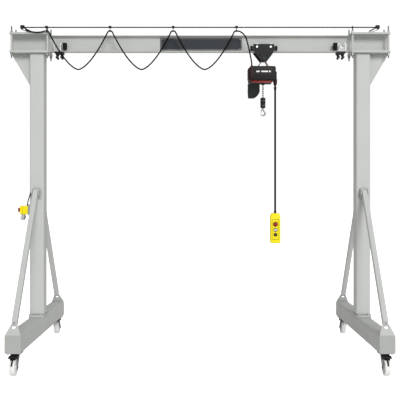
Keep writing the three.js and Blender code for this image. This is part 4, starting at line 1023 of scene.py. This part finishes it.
def chain_bag():
    x0, x1, z0, z1 = 594.0, 734.0, 3136.0, 3310.6
    outline = soften([(x0, z1), (x0 - 2, z0 + 80), (x0 + 2, z0 + 8), (x0 + 10, z0), (x0 + 78, z0), (x1 - 22, z0 + 30),
                      (x1, z0 + 62), (x1, z1)], 12)
    cx, cz = (x0 + x1) / 2, (z0 + z1) / 2

    def inset(by):
        return [(cx + (x - cx) * (1 - by / 70), cz + (z - cz) * (1 - by / 90)) for x, z in outline]
    rings = [(inset(7), -66), (inset(3), -69), (inset(0.6), -68), (inset(0), -62), (inset(-0.6), 0), (inset(0), 62),
             (inset(0.6), 68), (inset(3), 69), (inset(7), 66)]
    build("chain_bag_shell", [loft("y", rings)], BAG, "hoist", "chain_bag", angle=50)
    rim = pillow("z", 144, 144, 10, z1 - 16, z1 - 2, 2, 2, cx, 0)
    ribs = [pillow("z", 5, 3.4, 1.4, z0 + 68, z1 - 18, 1.4, 1.4, x, front * 69.6) for x in (622, 648, 674, 700)
            for front in (-1, 1)]
    bracket = prism("y", soften([(588, 3332), (588, 3276), (606, 3262), (606, 3286), (640, 3294), (640, 3332)], 5),
                    -75, -69)
    build("chain_bag_rim", [rim], BLACK_PLASTIC, "hoist")
    build("chain_bag_ribs", ribs, BAG, "hoist")
    build("chain_bag_bracket", [bracket], BLACK_PLASTIC, "hoist", bevel=1.0)
    build("chain_bag_screws", [screw("y", s, -75, -1, 4) for s in ((598, 3300), (628, 3312))], ZINC, "hoist")


# ------------------------------------------------------------------ load chain, with the stored links stacked above the chain mouth
PITCH = 24.0
LINK_WIRE = 3.4
CHAIN_LOW = 3137.0
CHAIN_MOUTH = 3345.0
LIFT = -joint("hook_lift")["range_m"][0] / MM


def chain_link(index, z):
    half, straight = 8.6, 7.2
    path = arc(0, straight, half, 0, 180, 7) + arc(0, -straight, half, 180, 360, 7)
    points = [(u, 0, v) if index % 2 == 0 else (0, u, v) for u, v in path]
    return shifted(tube(points, LINK_WIRE, 8, True), CHAIN_X, 0, z)


def load_chain():
    resting = int((CHAIN_MOUTH - CHAIN_LOW) / PITCH)
    stored = round(LIFT / PITCH)
    links, shares = [], []
    for index in range(resting + stored):
        if index < resting:
            z, share = CHAIN_LOW + PITCH * (index + 0.5) + 4, 1.0
        else:
            k = index - resting
            z = CHAIN_MOUTH + 8 + k * 1.25
            share = (z - (CHAIN_LOW + PITCH * (index + 0.5) + 4 - LIFT)) / LIFT
        links.append(chain_link(index, z))
        shares += [min(1.0, max(0.0, share))] * len(links[-1][0])
    obj = build("load_chain_links", links, CHAIN_STEEL, None, "load_chain", angle=60)
    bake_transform(obj)


# ------------------------------------------------------------------ hook block, hook and latch
BLOCK_TOP, BLOCK_LOW = 3136.0, 3012.0
BOWL_R, HOOK_R = 27.0, 9.5
BOWL_Z = 2909 + BOWL_R + HOOK_R


def hook_block():
    at = Matrix.Translation((CHAIN_X, 0, 0))
    body = lathe("z", [(7, 3136), (28, 3136), (31, 3134.6), (31.8, 3131), (31.8, 3080), (30.4, 3078.6),
                       (30.4, 3075.4), (31.8, 3074), (31.8, 3018), (31, 3014), (28, 3012), (10, 3012)], sides=44)
    collar = lathe("z", [(8, 3134.4), (11.5, 3134.4), (12.5, 3138), (11, 3141), (8, 3141)], sides=28)
    build("hook_block_body", [body], CHARCOAL, "hook_block", "hook_block", at=at, angle=40)
    build("hook_block_collar", [collar], RUBBER, "hook_block", at=at)
    screws = [screw("y", (x, z), front * 30, front, 4.2) for front in (-1, 1) for x in (-12, 12) for z in (3040, 3098)]
    build("hook_block_screws", screws, ZINC, "hook_block", at=at)


def hook():
    at = Matrix.Translation((CHAIN_X, 0, 0))
    bowl = [(BOWL_R * math.cos(math.radians(a)), 0, BOWL_Z + BOWL_R * math.sin(math.radians(a)))
            for a in np.linspace(64, -170, 17)]
    path = smooth_path([(0, 0, 3006), (1, 0, 2996), (6, 0, 2984), *bowl], 3)
    count = len(path)
    girth = [float(np.interp(i / (count - 1), (0, 0.1, 0.3, 0.55, 0.8, 0.94, 0.99, 1),
                             (1.0, 0.95, 1.05, 1.15, 0.95, 0.72, 0.5, 0.14))) for i in range(count)]
    section = [(HOOK_R * 0.86 * math.cos(a), HOOK_R * math.sin(a)) for a in np.linspace(0, 2 * math.pi, 20, False)]
    shank = lathe("z", [(0, 3018), (8, 3018), (8.6, 3010), (9.4, 2996), (0, 2994)], sides=24)
    collar = lathe("z", [(8, 3002), (15, 3002), (17, 3004), (17, 3008.6), (15, 3010.6), (8, 3010.6)], sides=32)
    lug = prism("y", soften([(-9, 3000), (4, 3000), (4, 2982), (-20, 2980), (-21, 2990), (-15, 2995)], 4), -4, 4,
                [circle(2.6, -14, 2988, 12)])
    build("hook_body", [sweep(path, section, False, girth), shank], DULL_ZINC, "hook", "hook", at=at, angle=60)
    build("hook_collar", [collar], ZINC, "hook", at=at)
    build("hook_latch_lug", [lug], STEEL, "hook", at=at, bevel=1.0)


def latch():
    swing = joint("latch_open")["pos_m"]
    at = Matrix.Translation((swing[0] / MM, 0, swing[2] / MM)) @ Matrix.Rotation(math.radians(104.5), 4, "Y")
    tongue = prism("z", soften([(-4, -7), (34, -6), (43, -4), (43, 4), (34, 6), (-4, 7)], 3), -0.4, 1.6)
    cheeks = [prism("y", soften([(-7, -6), (10, -6.5), (39, -3), (41, 2), (-6, 5)], 3), *span)
              for span in ((-7.4, -6), (6, 7.4))]
    pin = rod("y", 2.4, -12, 12, (0, 0), 14, 0.5)
    heads = [rod("y", 4.2, *span, (0, 0), 16, 0.5) for span in ((-12, -9.6), (9.6, 12))]
    turns = [(3.6 * math.cos(a), 4.4 + 0.5 * a / math.pi - 1.9, 3.6 * math.sin(a))
             for a in np.linspace(0, 5 * math.pi, 50)]
    spring = tube([(x, y, z) for x, y, z in turns], 0.6, 6)
    build("hook_latch_tongue", [tongue, *cheeks], FORK_STEEL, "hook_latch", "hook_latch", at=at, bevel=0.4)
    build("hook_latch_pin", [pin, *heads], STEEL, "hook_latch", at=at)
    build("hook_latch_spring", [spring], STEEL, "hook_latch", at=at)


# ------------------------------------------------------------------ pendant control
PENDANT_LOW, PENDANT_TOP = 1344.0, 1713.0
FACE_Y = -42.5
CORD_R = 12.0


def pendant():
    at = Matrix.Translation((PENDANT_X, PENDANT_Y, 0))
    right = [(52, PENDANT_LOW), (62.5, PENDANT_LOW + 10), (62.5, PENDANT_TOP - 37), (54.5, PENDANT_TOP - 16),
             (40.5, PENDANT_TOP - 3), (34, PENDANT_TOP)]
    outline = soften(right + [(-x, z) for x, z in reversed(right)], 9)
    cz = (PENDANT_LOW + PENDANT_TOP) / 2

    def inset(by):
        return [(x * (1 - by / 62.5), cz + (z - cz) * (1 - by / 184.5)) for x, z in outline]
    rings = [(inset(9), FACE_Y), (inset(4), FACE_Y + 1.5), (inset(1.2), FACE_Y + 4.5), (inset(0), FACE_Y + 9),
             (inset(0), 33), (inset(1.2), 38), (inset(4), 41), (inset(9), 42.5)]
    build("pendant_shell", [loft("y", rings)], YELLOW, "pendant", "pendant_housing", at=at, angle=50)
    seam = [(inset(-0.5), -2.2), (inset(-0.5), -0.2)]
    build("pendant_gasket", [loft("y", seam)], RUBBER, "pendant", at=at, angle=50)
    frame = prism("y", rounded(86, 250, 12, 0, 1514), FACE_Y - 0.5, FACE_Y + 1.5, [rounded(79, 243, 10, 0, 1514)])
    build("pendant_panel_edge", [frame], END_BROWN, "pendant", at=at)
    panel = prism("y", rounded(78, 242, 10, 0, 1514), FACE_Y - 1.0, FACE_Y + 1.5,
                  [circle(r + 0.6, 0, z, 32) for z, r in ((1578, 25), (1509, 16), (1450, 16))])
    build("pendant_panel", [panel], YELLOW, "pendant", at=at, bevel=0.5)
    rings = [lathe("y", [(r + 0.5, FACE_Y - 3.4), (w - 2, FACE_Y - 3.4), (w, FACE_Y - 0.6), (r + 0.5, FACE_Y - 0.6)],
                   (0, z), 36) for z, r, w in ((1509, 16, 25), (1450, 16, 23), (1578, 25, 30))]
    build("pendant_collars", rings, BLACK_PLASTIC, "pendant", at=at)
    screws = [screw("y", (x, z), FACE_Y + 1, -1, 4) for x in (-46, 46) for z in (1372, 1636)]
    build("pendant_screws", screws, ZINC, "pendant", at=at)
    profile = [(0, 1706), (17, 1706), (17, 1717), (14.5, 1719), (14.5, 1727), (13.8, 1729), (13.8, 1737), (13.2, 1739),
               (13.2, 1752), (12.2, 1756), (0, 1756)]
    build("pendant_boot", [lathe("z", profile, sides=28)], RUBBER, "pendant", at=at)
    ball = [(u, 3285 + v) for u, v in arc(0, 0, CORD_R, 0, 90, 8)]
    cord = lathe("z", [(0, 1750), (CORD_R, 1750), *ball[:-1], (0, 3285 + CORD_R)], sides=28)
    build("pendant_cord", [cord], CABLE, "pendant", "pendant_cable", at=at)
    guard = lathe("z", [(0, 3220), (13, 3220), (14, 3226), (14, 3232), (15, 3234), (15, 3240), (16, 3242),
                        (16, 3248), (17, 3250), (17, 3258), (15, 3262), (0, 3264)], sides=28)
    build("pendant_cord_guard", [guard], RUBBER, "pendant", at=at)


def button(name, z, radius, travel, stand, material, mark=None):
    at = Matrix.Translation((PENDANT_X, PENDANT_Y, 0))
    shut = FACE_Y - travel - 1.0
    front = shut - (stand - travel - 1)
    if radius > 20:
        profile = [(0, front), (15, front + 0.6), (22, front + 3), (25, front + 7), (24.5, front + 10), (17, shut - 2),
                   (14, shut), (14, FACE_Y + 6), (0, FACE_Y + 6)]
    else:
        profile = [(0, front + 0.8), (8, front + 0.5), (12.5, front), (15, front + 0.6), (16, front + 2.4), (16, shut),
                   (9, shut), (9, FACE_Y + 5), (0, FACE_Y + 5)]
    build(f"{name}_cap", [lathe("y", profile, (0, z), 40)], material, name, name, at=at, angle=36)
    if mark:
        outline, colour = mark
        shape = prism("y", [(x, z + v) for x, v in outline], front - 0.3, front + 1.2)
        build(f"{name}_mark", [shape], colour, name, at=at, bevel=0.3)


# ------------------------------------------------------------------ mains switch, inlet and supply cable
def mains_switch():
    node = Extent("switch_box")
    left, right = -2217.0, -2113.0
    low, top = 1699.0, 1802.0
    body = pillow("x", 90, top - low, 8, left + 34, right - 1, 2, 2, 0, (low + top) / 2)
    lid = pillow("x", 90, top - low, 8, left, left + 32, 5, 2, 0, (low + top) / 2)
    gasket = pillow("x", 87, top - low - 3, 7, left + 31, left + 35, 0.5, 0.5, 0, (low + top) / 2)
    plate = pillow("x", 120, node.z1 - node.z0, 8, right - 1, node.x1, 0.6, 0.6, 0, node.cz)
    build("switch_box_body", [body, lid], YELLOW, "frame", "switch_box", angle=40)
    build("switch_box_gasket", [gasket], RUBBER, "frame")
    build("switch_back_plate", [plate], DULL_ZINC, "frame")
    screws = [screw("x", (y, z), left + 0.6, -1, 3.6) for y in (-37, 37) for z in (low + 9, top - 9)]
    screws += [screw("x", (y, z), right - 0.6, -1, 4.5) for y in (-53, 53) for z in (node.z0 + 9, node.z1 - 9)]
    build("switch_box_screws", screws, ZINC, "frame")
    knob_z = joint("switch_turn")["pos_m"][2] / MM
    dial = lathe("x", [(0, left - 0.4), (30, left - 0.4), (31, left + 1.4), (0, left + 1.4)], (0, knob_z), 40)
    build("switch_dial", [dial], GREY_PLASTIC, "frame")
    disc = lathe("x", [(0, left - 1), (26, left - 1), (27, left - 2.4), (26, left - 9), (22, left - 10.3),
                       (15, left - 10.3), (15, left - 24), (13, left - 31), (0, left - 31)], (0, knob_z), 40)
    grip = prism("x", [(y, knob_z + z) for y, z in soften([(-8, -25), (8, -25), (8, 25), (-8, 25)], 6)],
                 left - 31.4, left - 9)
    pointer = prism("x", [(y, knob_z + z) for y, z in soften([(-1.6, 8), (1.6, 8), (1.6, 23), (-1.6, 23)], 1)],
                    left - 32.2, left - 31)
    build("switch_knob", [disc, grip], RED_PLASTIC, "switch_handle", "switch_handle", bevel=1.2)
    build("switch_pointer", [pointer], WHITE_PLASTIC, "switch_handle")


def power_inlet():
    at = Matrix.Translation((-2181, 0, 1699)) @ Matrix.Rotation(math.radians(13), 4, "Y")
    shell = lathe("z", [(0, 4), (18, 4), (18, -3), (22, -5), (24, -9), (24, -46), (27, -48), (29, -50), (29, -71),
                        (28, -73), (22.4, -73), (22.4, -46), (0, -46)], sides=36)
    build("inlet_shell", [shell], PALE_PLASTIC, "frame", "power_inlet", at=at, angle=40)
    flange = block(-2209, -2153, -27, 27, 1694, 1699.4)
    build("inlet_flange", [flange], YELLOW, "frame", bevel=2)
    core = lathe("z", [(0, -45), (21, -45), (21, -58), (0, -58)], sides=32)
    pins = [rod("z", 3, -70, -56, (13 * math.cos(a), 13 * math.sin(a)), 12, 0.8)
            for a in np.linspace(0, 2 * math.pi, 5, False)]
    ribs = [moved(block(23, 25.4, -2, 2, -44, -14), Matrix.Rotation(2 * math.pi * k / 10, 4, "Z")) for k in range(10)]
    hinge = [block(22, 31, -14, 14, -52, -12), rod("y", 4, -16, 16, (30, -48), 16, 0.8)]
    build("inlet_core", [core], BLACK_PLASTIC, "frame", at=at)
    build("inlet_pins", pins, STEEL, "frame", at=at)
    build("inlet_hinge", hinge, BLACK_PLASTIC, "frame", at=at, bevel=1.2)
    build("inlet_grip_ribs", ribs, PALE_PLASTIC, "frame", at=at, bevel=0.6)


def supply_cable():
    end_x, end_z = -2069.0, 1955.0
    face = -COLUMN_SIZE / 2
    path = smooth_path([(-2126, -20, 1806), (-2124, -30, 1840), (-2108, -66, 1872), (-2093, -97, 1898),
                        (-2080, -114, 1928), (end_x, face - 30, end_z), (end_x, face - 8, end_z)], 8)
    build("supply_lead", [tube(path, 6, 14)], CABLE, "frame", "supply_cable", angle=60)
    gland = lathe("z", [(0, 1801), (11, 1801), (11, 1812), (10, 1813), (9.6, 1821), (7, 1825), (0, 1825)],
                  (-2126, -20), 20)
    wall = lathe("y", [(0, face + 0.5), (12, face + 0.5), (12, face - 9), (11, face - 10), (10, face - 17),
                       (7, face - 20), (0, face - 20)], (end_x, end_z), 20)
    build("supply_glands", [gland, wall], BLACK_PLASTIC, "frame")


# ------------------------------------------------------------------ everything else placed
for name in ("left", "right"):
    column(name)
    base_beam(name)
    girder_clamp(name)
    end_stop(name)
    wire_bracket(name)
    for place in ("front", "back"):
        brace(name, place)
        castor(name, place)
girder()
sign_plate()
festoon_wire()
clip("fixed_cable_clip", FIXED_CLIP_X, "frame")
for number, x in enumerate(CLIP_X, 1):
    clip(f"cable_clip_{number}", x, f"cable_clip_{number}")
festoon()
trolley()
hoist()
hoist_hanger()
chain_bag()
load_chain()
hook_block()
hook()
latch()
pendant()
ARROW = [(-6.5, -4), (-2.2, -4), (-2.2, -8.5), (2.2, -8.5), (2.2, -4), (6.5, -4), (0, 7)]
button("stop_button", 1578, 25, 5, 22, RED_PLASTIC)
button("up_button", 1509, 16, 4, 12, WHITE_PLASTIC, (ARROW, BLACK_PLASTIC))
button("down_button", 1450, 16, 4, 12, BLACK_PLASTIC, ([(x, -v) for x, v in ARROW][::-1], GREY_PLASTIC))
mains_switch()
power_inlet()
supply_cable()


# ------------------------------------------------------------------ room, light and camera
def studio():
    scene = bpy.context.scene
    floor_mesh = bpy.data.meshes.new("floor")
    half = 60.0
    floor_mesh.from_pydata([(-half, -half, 0), (half, -half, 0), (half, half, 0), (-half, half, 0)], [], [(0, 1, 2, 3)])
    floor = bpy.data.objects.new("studio_floor", floor_mesh)
    scene.collection.objects.link(floor)
    pale = surface("pale_floor", "f4f4f2", 0.8, grain=0.05, mottle=0.01, dust_and_shade=0.99, wear_and_highlight=1.0)
    shader = pale.node_tree.nodes["Principled BSDF"]
    shader.inputs["Emission Color"].default_value = (1.0, 1.0, 1.0, 1.0)
    camera_only(pale.node_tree, 0.02, 0.85, shader.inputs["Emission Strength"])
    floor_mesh.materials.append(pale)
    world = bpy.data.worlds.new("studio")
    world.use_nodes = True
    back = world.node_tree.nodes["Background"]
    camera_only(world.node_tree, 0.5, 1.05, back.inputs["Strength"])
    back.inputs["Color"].default_value = (1.0, 1.0, 1.0, 1.0)
    scene.world = world
    scene.view_settings.view_transform = "Standard"
    light = bpy.data.lights.new("key", "SUN")
    light.energy = 1.9
    light.angle = math.radians(24)
    lamp = bpy.data.objects.new("key_light", light)
    lamp.location = (2.4, -8.5, 4.2)
    lamp.rotation_euler = (-lamp.location).to_track_quat("-Z", "Y").to_euler()
    scene.collection.objects.link(lamp)


def camera_only(tree, others, seen, socket):
    """Drives a strength: one value for rays from the camera, another for every other ray."""
    path = tree.nodes.new("ShaderNodeLightPath")
    strength = tree.nodes.new("ShaderNodeMapRange")
    strength.inputs["To Min"].default_value = others
    strength.inputs["To Max"].default_value = seen
    tree.links.new(path.outputs["Is Camera Ray"], strength.inputs["Value"])
    tree.links.new(strength.outputs["Result"], socket)


def camera():
    lens = bpy.data.cameras.new("photo_view")
    lens.sensor_width = 36.0
    lens.lens = 63.9
    lens.shift_y = -0.015
    lens.clip_end = 200
    view = bpy.data.objects.new("photo_camera", lens)
    view.location = (0.0, -8.783, 1.948)
    view.rotation_euler = (math.radians(90), 0, 0)
    bpy.context.scene.collection.objects.link(view)
    bpy.context.scene.camera = view


studio()
camera()
bpy.context.view_layer.update()
